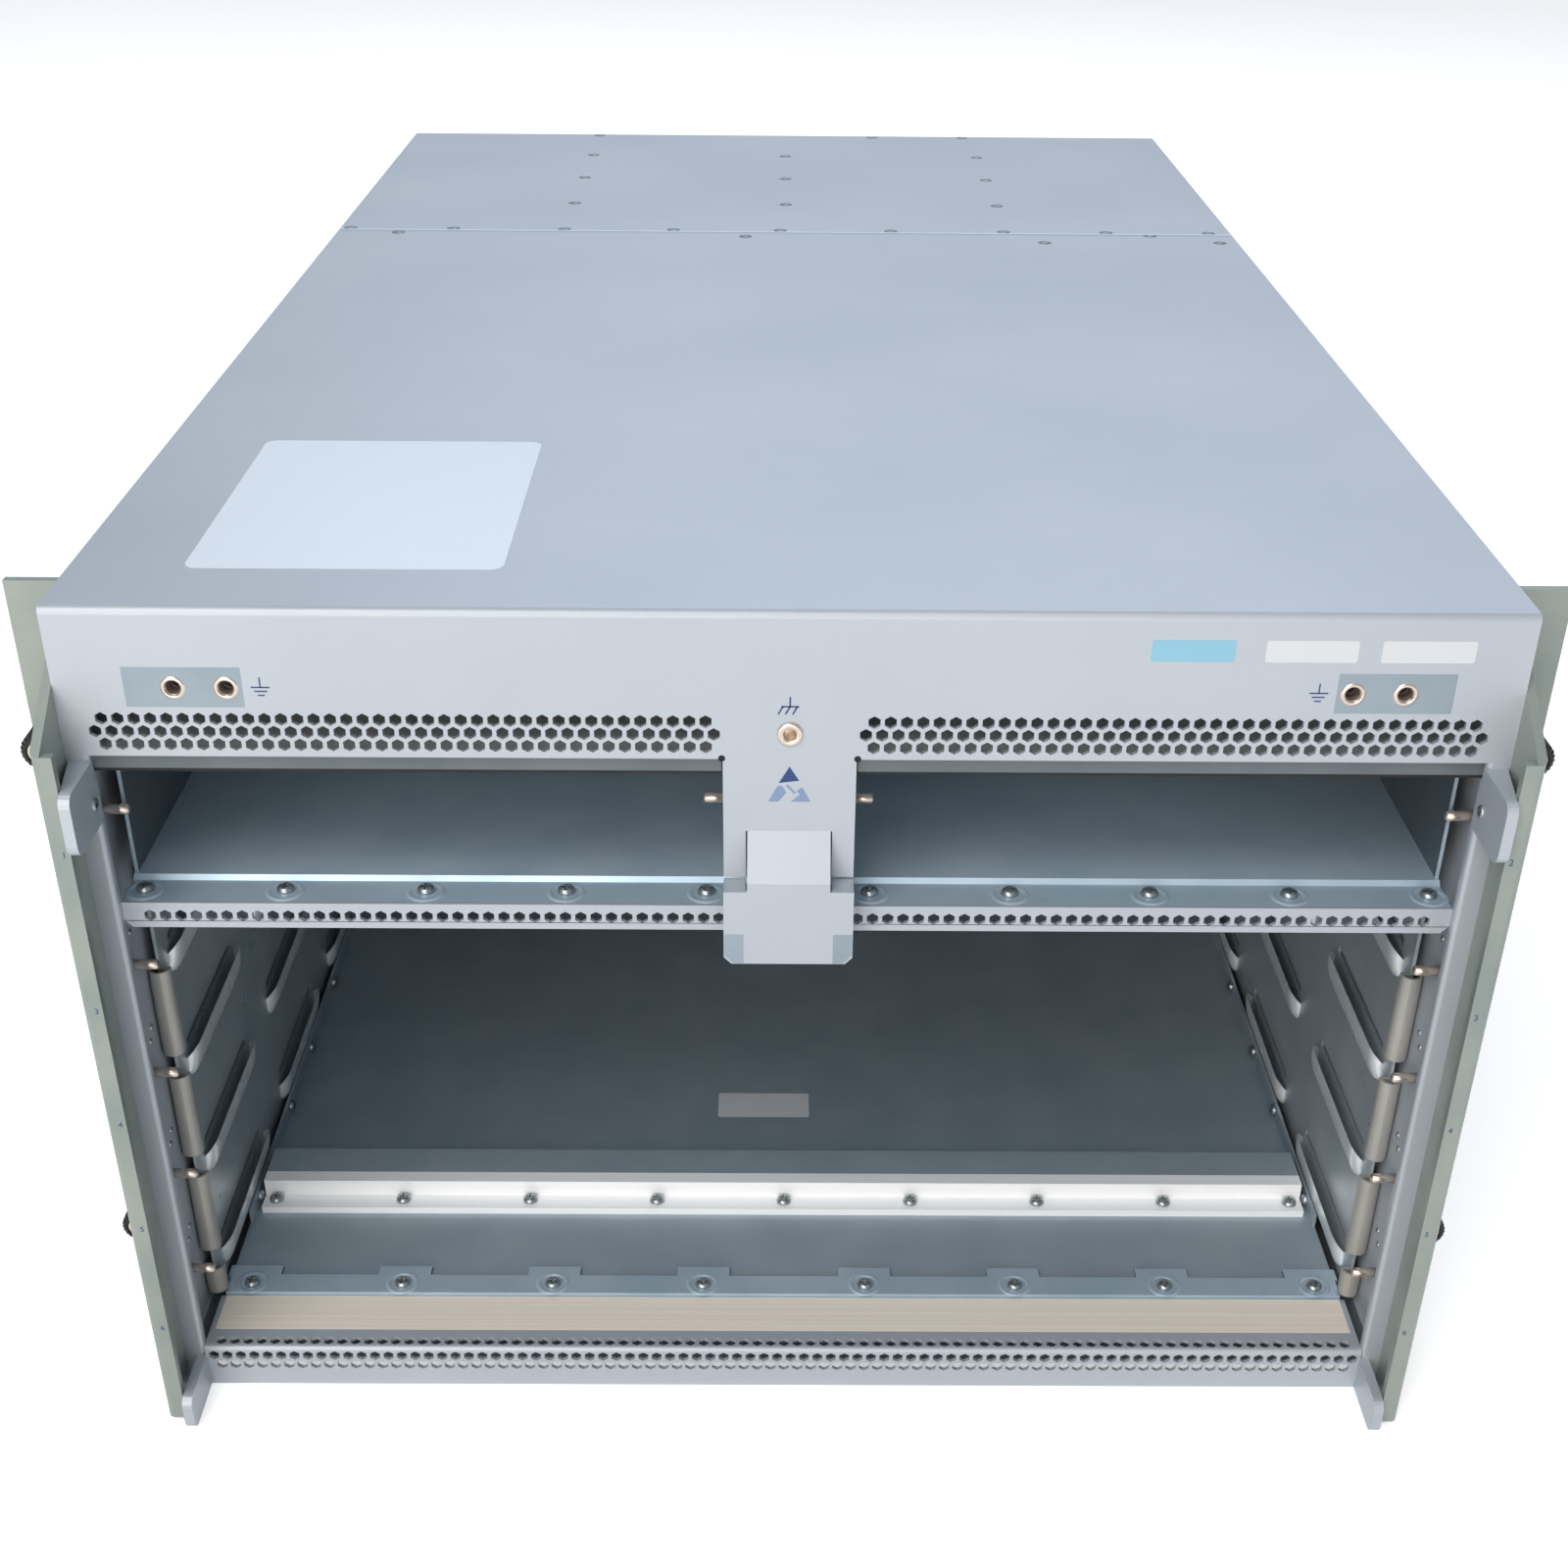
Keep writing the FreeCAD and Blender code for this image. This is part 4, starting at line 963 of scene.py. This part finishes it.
def guide_pins(sizes):
    """Round guide pins with a small chamfer."""

    def pin(mesh_tool, place, direction):
        profile = [
            (0, 0),
            (PIN_RADIUS, 0),
            (PIN_RADIUS, PIN_LENGTH - 0.6),
            (PIN_RADIUS - 0.5, PIN_LENGTH),
            (0, PIN_LENGTH),
        ]
        add_lathe(mesh_tool, profile, place, direction, 18)

    inner = HALF_BODY - SHEET
    for name, side in SIDES:
        mesh_tool = bmesh.new()
        for slot in range(SLOTS):
            place = (side * inner, PIN_DEPTH, PIN_LOW + slot * SLOT_PITCH)
            pin(mesh_tool, place, (-side, 0, 0))
        keep(
            mesh_tool,
            name + "_card_pins",
            "nickel",
            instead_of=(name + "_line_card_pins",),
        )
    mesh_tool = bmesh.new()
    for _name, side in SIDES:
        pin(mesh_tool, (side * inner, PIN_DEPTH, BAY_PIN_HEIGHT), (-side, 0, 0))
        pin(mesh_tool, (side * DIVIDER_HALF, DIVIDER_PIN_DEPTH, BAY_PIN_HEIGHT), (side, 0, 0))
    keep(mesh_tool, "supervisor_guide_pins", "nickel", instead_of=("supervisor_pins",))


def shelf_row():
    """Where the screws of the shelf sit across the body."""
    return [side * (26.5 + step * 45.5) for side in (-1, 1) for step in range(5)]


def strip_row():
    """Where the screws of the floor strip sit across the body."""
    pitch = (FLANGE_INNER - 10.5 - STRIP_FIRST) / 3
    return [side * (STRIP_FIRST + step * pitch) for side in (-1, 1) for step in range(4)]


def flush_screw():
    """Template of a countersunk screw seen from above: a dark ring round a bright head."""
    mesh_tool = bmesh.new()
    add_lathe(mesh_tool, [(0, 0.0), (1.9, 0.0), (1.9, 0.06), (0, 0.06)], (0, 0, 0), (0, 0, 1), 20)
    return template("flush screw", mesh_tool)


def screw_ring():
    """Template of the dark gap round a countersunk screw."""
    mesh_tool = bmesh.new()
    profile = [(1.9, 0.0), (3.3, 0.0), (3.3, 0.03), (1.9, 0.03)]
    add_lathe(mesh_tool, profile, (0, 0, 0), (0, 0, 1), 20)
    return template("screw ring", mesh_tool)


def small_screws(sizes):
    """Pan head screws of the shelf and the floor, and flush screws of the covers."""
    rows = {
        "shelf_screw_heads": [(across, 12, SHELF_TOP) for across in shelf_row()],
        "floor_strip_screw_heads": [
            (across, 34, FLOOR + STRIP_RISE) for across in strip_row()
        ],
        "floor_bar_screw_heads": [((step - 4) * 51.0, 82.0, FLOOR + 3) for step in range(9)],
    }
    for name, places in rows.items():
        mesh = repeated(name, pan_head(2.9, 2.0), places, (0, 0, 0), "screw")
        join(name, [mesh])
    places = [(across, SEAM + 5.0, BODY_TOP) for across in SEAM_SCREWS]
    places += [(across, along, BODY_TOP) for across, along in FRONT_SCREWS + REAR_EDGE]
    places += [(across, along, BODY_TOP) for across in REAR_COLUMNS for along in REAR_ROWS]
    heads = repeated("cover screws", flush_screw(), places, (0, 0, 0), "screw")
    rings = repeated("cover screw rings", screw_ring(), places, (0, 0, 0), "seam shadow")
    join("cover_screws", [heads, rings])
    for name, side in SIDES:
        places = [(side * (FLANGE_INNER - 2.7), along, FLOOR + 3.4) for along in SIDE_SCREWS]
        mesh = repeated(
            "side screws", pan_head(2.6, 2.0), places, (0, -side * math.pi / 2, 0), "screw"
        )
        join("%s_side_screws" % name, [mesh])
    hanging = [(side * 203.0, 7.0, BEZEL_BOTTOM) for _name, side in SIDES]
    mesh = repeated("deck screws", pan_head(2.8, 1.8), hanging, (math.pi, 0, 0), "screw")
    join("deck_screws", [mesh])
    for name, side in SIDES:
        tab = [(side * TAB_INNER, -4.0, 246.7)]
        mesh = repeated(
            "tab screw", pan_head(2.2, 0.9), tab, (0, -side * math.pi / 2, 0), "screw"
        )
        join("%s_tab_screw" % name, [mesh])


def wall_rivets(sizes):
    """Small rivets of the side panels between the card guide pins."""
    inner = HALF_BODY - SHEET
    for name, side in SIDES:
        mesh_tool = bmesh.new()
        for slot in range(SLOTS):
            pin = PIN_LOW + slot * SLOT_PITCH
            for along, rise in ((23.5, 14.5), (20.5, 10.5)):
                place = (side * inner, along, pin + rise)
                profile = [(1.2, 0), (1.1, 0.35), (0.6, 0.6), (0, 0.65)]
                add_lathe(mesh_tool, profile, place, (-side, 0, 0), 14)
        keep(mesh_tool, "%s_wall_rivets" % name, "screw")


def cover_seam(sizes):
    """The bright sheared edge of the rear cover along the seam."""
    mesh_tool = bmesh.new()
    edge = HALF_BODY - 0.5
    add_block(mesh_tool, (-edge, SEAM + 0.4, BODY_TOP), (edge, SEAM + 2.6, BODY_TOP + 0.05))
    # A flat bright strip on the cover: painted highlight of the rear cover's lit step edge.
    keep(mesh_tool, "rear_cover_edge", "cut edge")
    mesh_tool = bmesh.new()
    add_block(mesh_tool, (-edge, SEAM - 0.8, BODY_TOP), (edge, SEAM + 0.4, BODY_TOP + 0.03))
    keep(mesh_tool, "cover_seam_shadow", "seam shadow")


def deck_gasket(sizes):
    """The folded front edge of the deck with its black gasket, under the bezel."""
    fold = bmesh.new()
    strip = bmesh.new()
    for _name, side in SIDES:
        ends = sorted((side * 21.0, side * 219.0))
        add_block(fold, (ends[0], 2.2, DECK_FOLD_BOTTOM), (ends[1], 3.2, BEZEL_BOTTOM))
        # A black strip of painted shadow in the gap under the fold.
        add_block(strip, (ends[0], 2.4, GAP_SHADOW_BOTTOM), (ends[1], 3.4, DECK_FOLD_BOTTOM))
    # The fold's dark finish is painted shade.
    keep(fold, "deck_front_fold", "fold")
    keep(strip, "deck_gasket", "gasket")


def catch_shoulders(sizes):
    """Folds that join the catch plate to the strap's legs, and the bezel's corner reliefs."""
    mesh_tool = bmesh.new()
    for _name, side in SIDES:
        ends = sorted((side * 13.6, side * 20.5))
        add_block(mesh_tool, (ends[0], -7.5, 218.2), (ends[1], 0.0, 219.5))
    keep(mesh_tool, "catch_shoulders", "paint")
    mesh_tool = bmesh.new()
    for _name, side in SIDES:
        outline = []
        for step in range(14):
            angle = 2 * math.pi * step / 14
            across = side * 20.8 + 1.1 * math.cos(angle)
            outline.append((across, BEZEL_BOTTOM + 0.2 + 1.1 * math.sin(angle)))
        add_prism(mesh_tool, outline, "Y", -PRINT, 0.0)
    keep(mesh_tool, "corner_reliefs", "hole")


def shelf_dimples(sizes):
    """Round embossed rings about the screws of the shelf and of the floor strip."""
    mesh_tool = bmesh.new()
    ring = [(6.4, 0.0), (6.0, 0.3), (5.3, 0.45), (4.7, 0.3), (4.3, 0.0)]
    for across in shelf_row():
        add_lathe(mesh_tool, ring, (across, 11.2, SHELF_TOP), (0, 0, 1), 32)
    for across in strip_row():
        add_lathe(mesh_tool, ring, (across, 34.4, FLOOR + STRIP_RISE), (0, 0, 1), 32)
    keep(mesh_tool, "screw_rings", "shelf")


def drilled_plate(mesh_tool, corners, holes, near, far, sides=24):
    """A plate across Y with round holes, given as (x, z) corners and (x, z, radius) holes."""
    levels = []
    for depth in (near, far):
        loops = [[mesh_tool.verts.new((across, depth, up)) for across, up in corners]]
        for across, up, radius in holes:
            loop = []
            for step in range(sides):
                angle = 2 * math.pi * step / sides
                spot = (across + radius * math.cos(angle), depth, up + radius * math.sin(angle))
                loop.append(mesh_tool.verts.new(spot))
            loops.append(loop)
        edges = [
            mesh_tool.edges.new((loop[step], loop[(step + 1) % len(loop)]))
            for loop in loops
            for step in range(len(loop))
        ]
        bmesh.ops.triangle_fill(mesh_tool, edges=edges, use_beauty=True)
        levels.append(loops)
    for front, back in zip(*levels):
        for step in range(len(front)):
            following = (step + 1) % len(front)
            mesh_tool.faces.new((front[step], front[following], back[following], back[step]))


def ground_points(sizes):
    """Bare patches, threaded rims of the ground holes and the rim of the socket."""
    patches = bmesh.new()
    rims = bmesh.new()
    for _name, side in SIDES:
        ends = sorted((side * 164, side * 199.5))
        centres = [side * LUG_MIDDLE + step * LUG_PITCH for step in (-0.5, 0.5)]
        drilled_plate(
            patches,
            [(ends[0], 278), (ends[1], 278), (ends[1], 291), (ends[0], 291)],
            [(across, LUG_HEIGHT, BORE) for across in centres],
            -0.06,
            0.0,
        )
        for across in centres:
            centre = (across, 0, LUG_HEIGHT)
            profile = [(BORE, 0.3), (BORE, -0.35), (2.9, -0.5), (3.6, -0.35), (3.8, 0.0)]
            add_lathe(rims, profile, centre, (0, 1, 0), 28)
            thread = []
            for turn in range(9):
                thread += [(2.45, 0.2 + turn * 0.6), (2.1, 0.5 + turn * 0.6)]
            add_lathe(rims, thread, centre, (0, 1, 0), 20)
    keep(patches, "bare_ground_patches", "pad")
    keep(rims, "ground_nut_rims", "nickel")
    socket = bmesh.new()
    centre = (0, 0, SOCKET_HEIGHT)
    profile = [
        (3.4, 0.0), (3.9, -0.1), (3.9, -0.7), (3.5, -1.0), (2.2, -1.0), (2.0, -0.6), (2.0, 7.4),
        (0, 7.4),
    ]
    add_lathe(socket, profile, centre, (0, 1, 0), 32)
    keep(
        socket, "wrist_strap_socket_rim", "nickel", instead_of=("wrist_strap_socket",)
    )


def knob_ring(mesh_tool, place, along, reach, groove):
    """One ring of a knob's corners, every other one set in by the groove."""
    ring = []
    for step in range(FLUTES * 2):
        angle = math.pi * step / FLUTES
        radius = reach - (groove if step % 2 else 0.0)
        ring.append(mesh_tool.verts.new((
            place[0] + radius * math.cos(angle),
            place[1] - along,
            place[2] + radius * math.sin(angle),
        )))
    return ring


def join_rings(mesh_tool, lower, upper):
    """Faces between two rings of as many corners."""
    for step in range(len(lower)):
        following = (step + 1) % len(lower)
        mesh_tool.faces.new((lower[step], lower[following], upper[following], upper[step]))


def fluted_knob(place, start, stop, rim):
    """A knob with fine flutes, open in the middle for its screw."""
    mesh_tool = bmesh.new()
    profile = ((start, rim - 0.6), (start + 0.8, rim), (stop - 1.2, rim), (stop, rim - 1.0))
    rings = [knob_ring(mesh_tool, place, along, reach, 0.35) for along, reach in profile]
    for lower, upper in zip(rings, rings[1:]):
        join_rings(mesh_tool, lower, upper)
    for ring, along in ((rings[0], start), (rings[-1], stop)):
        join_rings(mesh_tool, ring, knob_ring(mesh_tool, place, along, CORE, 0.0))
    return mesh_tool


def rack_screw(place, start, stop):
    """A steel screw with a recess in its face."""
    mesh_tool = bmesh.new()
    profile = [
        (0, -9), (2.2, -9), (2.5, -8.6), (2.5, start), (CORE, start), (CORE, stop - 0.6),
        (3.8, stop - 0.3), (1.6, stop - 0.3), (0.6, stop - 2.4), (0, stop - 2.4),
    ]
    add_lathe(mesh_tool, profile, place, (0, -1, 0), 24)
    return mesh_tool


def captive_screws(sizes):
    """Black knobs with a steel screw in the middle, each on its own body."""
    for name, side in SIDES:
        for level in LEVELS:
            label = "%s_%s" % (level, name)
            low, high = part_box(label + "_knob")
            place = (side * RACK_LINE, EAR_FACE, (low[2] + high[2]) / MM / 2)
            start = EAR_FACE - high[1] / MM
            stop = EAR_FACE - low[1] / MM
            rim = (high[2] - low[2]) / MM / 2
            body = label + "_thumbscrew"
            keep(
                fluted_knob(place, start, stop, rim),
                label + "_grip",
                "knob",
                body=body,
                instead_of=(label + "_knob",),
            )
            keep(
                rack_screw(place, start, stop),
                label + "_screw",
                "nickel",
                body=body,
                instead_of=(label + "_rack_screw",),
            )


def stickers(sizes):
    """Plain labels without any print."""
    large = bmesh.new()
    add_prism(large, rounded(-186, 31, -88, 153, 4), "Z", BODY_TOP, BODY_TOP + LABEL)
    keep(large, "large_label", "label")
    places = ((107, 132, "blue label"), (141, 168.5, "paper"), (175.5, 203.5, "paper"))
    for index, (left, right, finish) in enumerate(places, start=1):
        mesh_tool = bmesh.new()
        outline = rounded(left, 294.6, right, 301.6, 0.6, 2)
        add_prism(mesh_tool, outline, "Y", -LABEL, 0.0)
        keep(mesh_tool, "front_sticker_%d" % index, finish)
    inside = bmesh.new()
    add_prism(inside, rounded(-28, 142, 11, 159, 0.8, 2), "Z", FLOOR, FLOOR + LABEL)
    keep(inside, "floor_sticker", "paper")


def add_stroke(mesh_tool, start, end, width):
    """A printed line between two (x, z) points on the bezel."""
    first = Vector(start)
    second = Vector(end)
    along = (second - first).normalized() * width / 2
    side = Vector((-along.y, along.x))
    corners = (
        first - along - side,
        second + along - side,
        second + along + side,
        first - along + side,
    )
    add_prism(mesh_tool, [tuple(corner) for corner in corners], "Y", -PRINT, 0.0)


def symbols(sizes):
    """Generic earth, chassis and static marks."""
    mesh_tool = bmesh.new()
    for _name, side in SIDES:
        across = side * 158.6
        add_stroke(mesh_tool, (across, 284.6), (across, 287.6), 0.45)
        for step, half in enumerate((2.6, 1.7, 0.8)):
            height = 284.6 - step * 1.3
            add_stroke(mesh_tool, (across - half, height), (across + half, height), 0.45)
    add_stroke(mesh_tool, (0, 279.2), (0, 282.2), 0.5)
    add_stroke(mesh_tool, (-2.4, 279.2), (2.4, 279.2), 0.5)
    for start in (-2.2, 0.0, 2.2):
        add_stroke(mesh_tool, (start, 279.2), (start - 1.3, 276.9), 0.5)
    add_prism(mesh_tool, [(-3.3, 253.4), (3.0, 254.2), (0, 259.0)], "Y", -PRINT, 0.0)
    keep(mesh_tool, "bezel_marks", "print")
    mesh_tool = bmesh.new()
    left = [
        (-6.6, 246.9), (-3.7, 252.3), (-2.4, 252.5),
        (-0.9, 250.2), (-2.2, 248.4), (-3.4, 246.9),
    ]
    right = [(6.6, 246.9), (3.9, 252.0), (2.2, 250.6), (3.2, 249.4), (0.4, 246.9)]
    for outline in (left, right):
        add_prism(mesh_tool, outline, "Y", -PRINT, 0.0)
    add_stroke(mesh_tool, (-0.6, 252.4), (1.6, 250.0), 0.7)
    keep(mesh_tool, "static_mark", "faded print")


def slot_numbers(sizes):
    """Slot numbers on the strips of the rack brackets."""
    heights = (238.0, 181.0, 136.0, 91.5, 46.5)
    meshes = []
    for _name, side in SIDES:
        first = "1" if side < 0 else "2"
        for text, height in zip((first, "3", "4", "5", "6"), heights):
            curve = bpy.data.curves.new("slot " + text, "FONT")
            curve.body = text
            curve.size = 3.1 * MM
            curve.align_x = "CENTER"
            curve.align_y = "CENTER"
            curve.extrude = 0.03 * MM
            writing = bpy.data.objects.new("slot " + text, curve)
            writing.matrix_world = Matrix.Translation(
                Vector((side * 219.4, STRIP_FRONT - 0.02, height)) * MM
            ) @ Matrix.Rotation(math.pi / 2, 4, "X")
            bpy.context.scene.collection.objects.link(writing)
            graph = bpy.context.evaluated_depsgraph_get()
            mesh = bpy.data.meshes.new_from_object(writing.evaluated_get(graph))
            mesh.transform(writing.matrix_world)
            mesh.materials.clear()
            mesh.materials.append(FINISHES["print"])
            bpy.data.objects.remove(writing)
            meshes.append(mesh)
    join("slot_numbers", meshes)


def bare_corners(sizes):
    """Unpainted lower corners of the catch plate."""
    mesh_tool = bmesh.new()
    for _name, side in SIDES:
        outline = [
            (side * 14.2, 193.2), (side * 14.2, 204), (side * 20.3, 204),
            (side * 20.3, 196.2), (side * 17.4, 193.2),
        ]
        add_prism(mesh_tool, outline, "Y", CATCH_FRONT - PRINT, CATCH_FRONT)
    keep(mesh_tool, "bare_catch_corners", "pad")


# ---------------------------------------------------------------- stage


def add_lamp(name, place, aim, size, power, colour):
    """A soft rectangular lamp that points at a spot."""
    light = bpy.data.lights.new(name, "AREA")
    light.shape = "RECTANGLE"
    light.size, light.size_y = size
    light.energy = power
    light.color = srgb(colour)[:3]
    lamp = bpy.data.objects.new(name, light)
    lamp.location = place
    lamp.rotation_euler = (Vector(aim) - Vector(place)).to_track_quat("-Z", "Y").to_euler()
    bpy.context.scene.collection.objects.link(lamp)


def add_studio_floor():
    """A wide pale floor, a little brighter to the camera and in mirror images."""
    mesh_tool = bmesh.new()
    bmesh.ops.create_grid(mesh_tool, x_segments=1, y_segments=1, size=12.0)
    mesh = bpy.data.meshes.new("studio floor")
    mesh_tool.to_mesh(mesh)
    mesh_tool.free()
    material, tree, _place = base_material("pale studio floor")
    shader = add_node(
        tree, "ShaderNodeBsdfDiffuse", {"Color": (0.85, 0.85, 0.85, 1.0), "Roughness": 1.0}
    )
    glow = add_node(tree, "ShaderNodeEmission", {"Color": (1, 1, 1, 1), "Strength": 0.46})
    rays = add_node(tree, "ShaderNodeLightPath")
    direct = add_node(
        tree,
        "ShaderNodeMath",
        {0: rays.outputs["Is Camera Ray"], 1: rays.outputs["Is Glossy Ray"]},
        operation="MAXIMUM",
    )
    total = add_node(
        tree, "ShaderNodeAddShader", {0: shader.outputs["BSDF"], 1: glow.outputs["Emission"]}
    )
    seen = add_node(
        tree,
        "ShaderNodeMixShader",
        {0: direct.outputs["Value"], 1: shader.outputs["BSDF"], 2: total.outputs["Shader"]},
    )
    add_node(tree, "ShaderNodeOutputMaterial", {"Surface": seen.outputs["Shader"]})
    mesh.materials.append(material)
    floor = bpy.data.objects.new("studio_floor", mesh)
    bpy.context.scene.collection.objects.link(floor)
    floor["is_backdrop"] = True


def add_surroundings():
    """Soft light from all sides that is plain white to the camera."""
    world = bpy.data.worlds.new("soft studio")
    bpy.context.scene.world = world
    world.use_nodes = True
    tree = world.node_tree
    tree.nodes.clear()
    rays = add_node(tree, "ShaderNodeLightPath")
    soft = add_node(
        tree, "ShaderNodeBackground", {"Color": srgb("#D5DDE6"), "Strength": 0.55}
    )
    white = add_node(tree, "ShaderNodeBackground", {"Color": (1, 1, 1, 1), "Strength": 1.0})
    mix = add_node(
        tree,
        "ShaderNodeMixShader",
        {0: rays.outputs["Is Camera Ray"], 1: soft.outputs["Background"],
         2: white.outputs["Background"]},
    )
    add_node(tree, "ShaderNodeOutputWorld", {"Surface": mix.outputs["Shader"]})


def add_lamps(power):
    """Four soft lamps, set by the power of the key lamp."""
    add_lamp("key lamp", (-0.8, -1.4, 2.2), (0, 0.1, 0.15), (1.6, 1.2), power, "#FFFFFF")
    add_lamp("rear lamp", (0.3, 2.4, 2.0), (0, 0.3, 0.25), (2.4, 1.2), power * 0.9, "#DCE8F6")
    add_lamp("front fill", (-0.7, -1.9, 1.0), (0, 0.1, 0.1), (1.8, 1.0), power * 0.46, "#FFF4E8")
    add_lamp("low fill", (-0.4, -1.6, 0.3), (0, 0.4, 0.1), (1.6, 0.4), power * 0.28, "#FFF6EC")


def add_camera():
    """The camera, above and in front of the chassis."""
    camera = bpy.data.cameras.new("camera")
    camera.lens = 46.24
    camera.sensor_width = 36.0
    camera.shift_x = -0.0006
    camera.shift_y = 0.096
    camera.clip_start = 0.02
    camera.clip_end = 50.0
    holder = bpy.data.objects.new("camera", camera)
    holder.location = (-0.0049, -0.5512, 0.5409)
    holder.rotation_euler = tuple(math.radians(angle) for angle in (58.15, -0.423, -0.144))
    bpy.context.scene.collection.objects.link(holder)
    bpy.context.scene.camera = holder


def build_stage(sizes):
    """Pale floor, soft lamps, white surroundings and the camera."""
    add_studio_floor()
    add_surroundings()
    add_lamps(sizes.lamp_power)
    add_camera()
    bpy.context.scene.view_settings.view_transform = "Standard"


# ---------------------------------------------------------------- add-on


class ChassisSizes(bpy.types.PropertyGroup):
    """Counts and lamp level that the pieces are built from."""

    grille_columns: IntProperty(
        name="Grille columns", description="Holes across the lower bezel", default=86
    )
    lip_columns: IntProperty(
        name="Lip columns", description="Holes across the shelf lip", default=84
    )
    rail_segments: IntProperty(
        name="Rail segments", description="Card rails one behind the other", default=3
    )
    lamp_power: FloatProperty(
        name="Lamp power", description="Power of the key lamp", default=29.0, unit="POWER"
    )


def make_operator(name, label, builder):
    """An operator class that builds one group of pieces."""

    def execute(self, context):
        builder(context.scene.chassis_sizes)
        return {"FINISHED"}

    return type(
        "CHASSIS_OT_" + name,
        (bpy.types.Operator,),
        {
            "__doc__": builder.__doc__,
            "bl_idname": "chassis." + name,
            "bl_label": label,
            "execute": execute,
        },
    )


def finishes_and_cad(sizes):
    """Makes the materials and coats the CAD nodes."""
    make_finishes()
    finish_cad()


STEPS = (
    ("finishes", "Coat the sheet metal", finishes_and_cad),
    ("lower_bezel", "Lower bezel", lower_bezel),
    ("shelf_lip", "Shelf lip", shelf_lip),
    ("guide_walls", "Guide walls", guide_walls),
    ("side_panels", "Side panels", side_panels),
    ("guide_pins", "Guide pins", guide_pins),
    ("small_screws", "Small screws", small_screws),
    ("shelf_dimples", "Shelf screw fields", shelf_dimples),
    ("wall_rivets", "Wall rivets", wall_rivets),
    ("cover_seam", "Seam of the covers", cover_seam),
    ("deck_gasket", "Deck gasket", deck_gasket),
    ("catch_shoulders", "Catch shoulders", catch_shoulders),
    ("ground_points", "Ground points", ground_points),
    ("captive_screws", "Captive screws", captive_screws),
    ("stickers", "Plain labels", stickers),
    ("symbols", "Marks", symbols),
    ("slot_numbers", "Slot numbers", slot_numbers),
    ("bare_corners", "Bare corners", bare_corners),
    ("stage", "Stage", build_stage),
)

OPERATORS = [make_operator(*step) for step in STEPS]


class CHASSIS_PT_panel(bpy.types.Panel):
    """Lists the operators that build the chassis."""

    bl_idname = "CHASSIS_PT_panel"
    bl_label = "Chassis switch"
    bl_space_type = "VIEW_3D"
    bl_region_type = "UI"
    bl_category = "Chassis"

    def draw(self, context):
        sizes = context.scene.chassis_sizes
        for name in ("grille_columns", "lip_columns", "rail_segments", "lamp_power"):
            self.layout.prop(sizes, name)
        for operator in OPERATORS:
            self.layout.operator(operator.bl_idname)


CLASSES = [ChassisSizes, *OPERATORS, CHASSIS_PT_panel]


def register():
    """Adds the classes and the scene's sizes."""
    for item in CLASSES:
        bpy.utils.register_class(item)
    bpy.types.Scene.chassis_sizes = PointerProperty(type=ChassisSizes)


def unregister():
    """Takes the classes and the sizes away again."""
    del bpy.types.Scene.chassis_sizes
    for item in reversed(CLASSES):
        bpy.utils.unregister_class(item)


def corners():
    """The two corners of everything in view, as plain lists."""
    low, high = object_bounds()
    return [list(low), list(high)]


def main():
    """Builds every group in turn and writes the size before and after."""
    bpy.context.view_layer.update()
    register()
    for name, _label, _builder in STEPS:
        getattr(bpy.ops.chassis, name)()


if __name__ == "__main__":
    main()
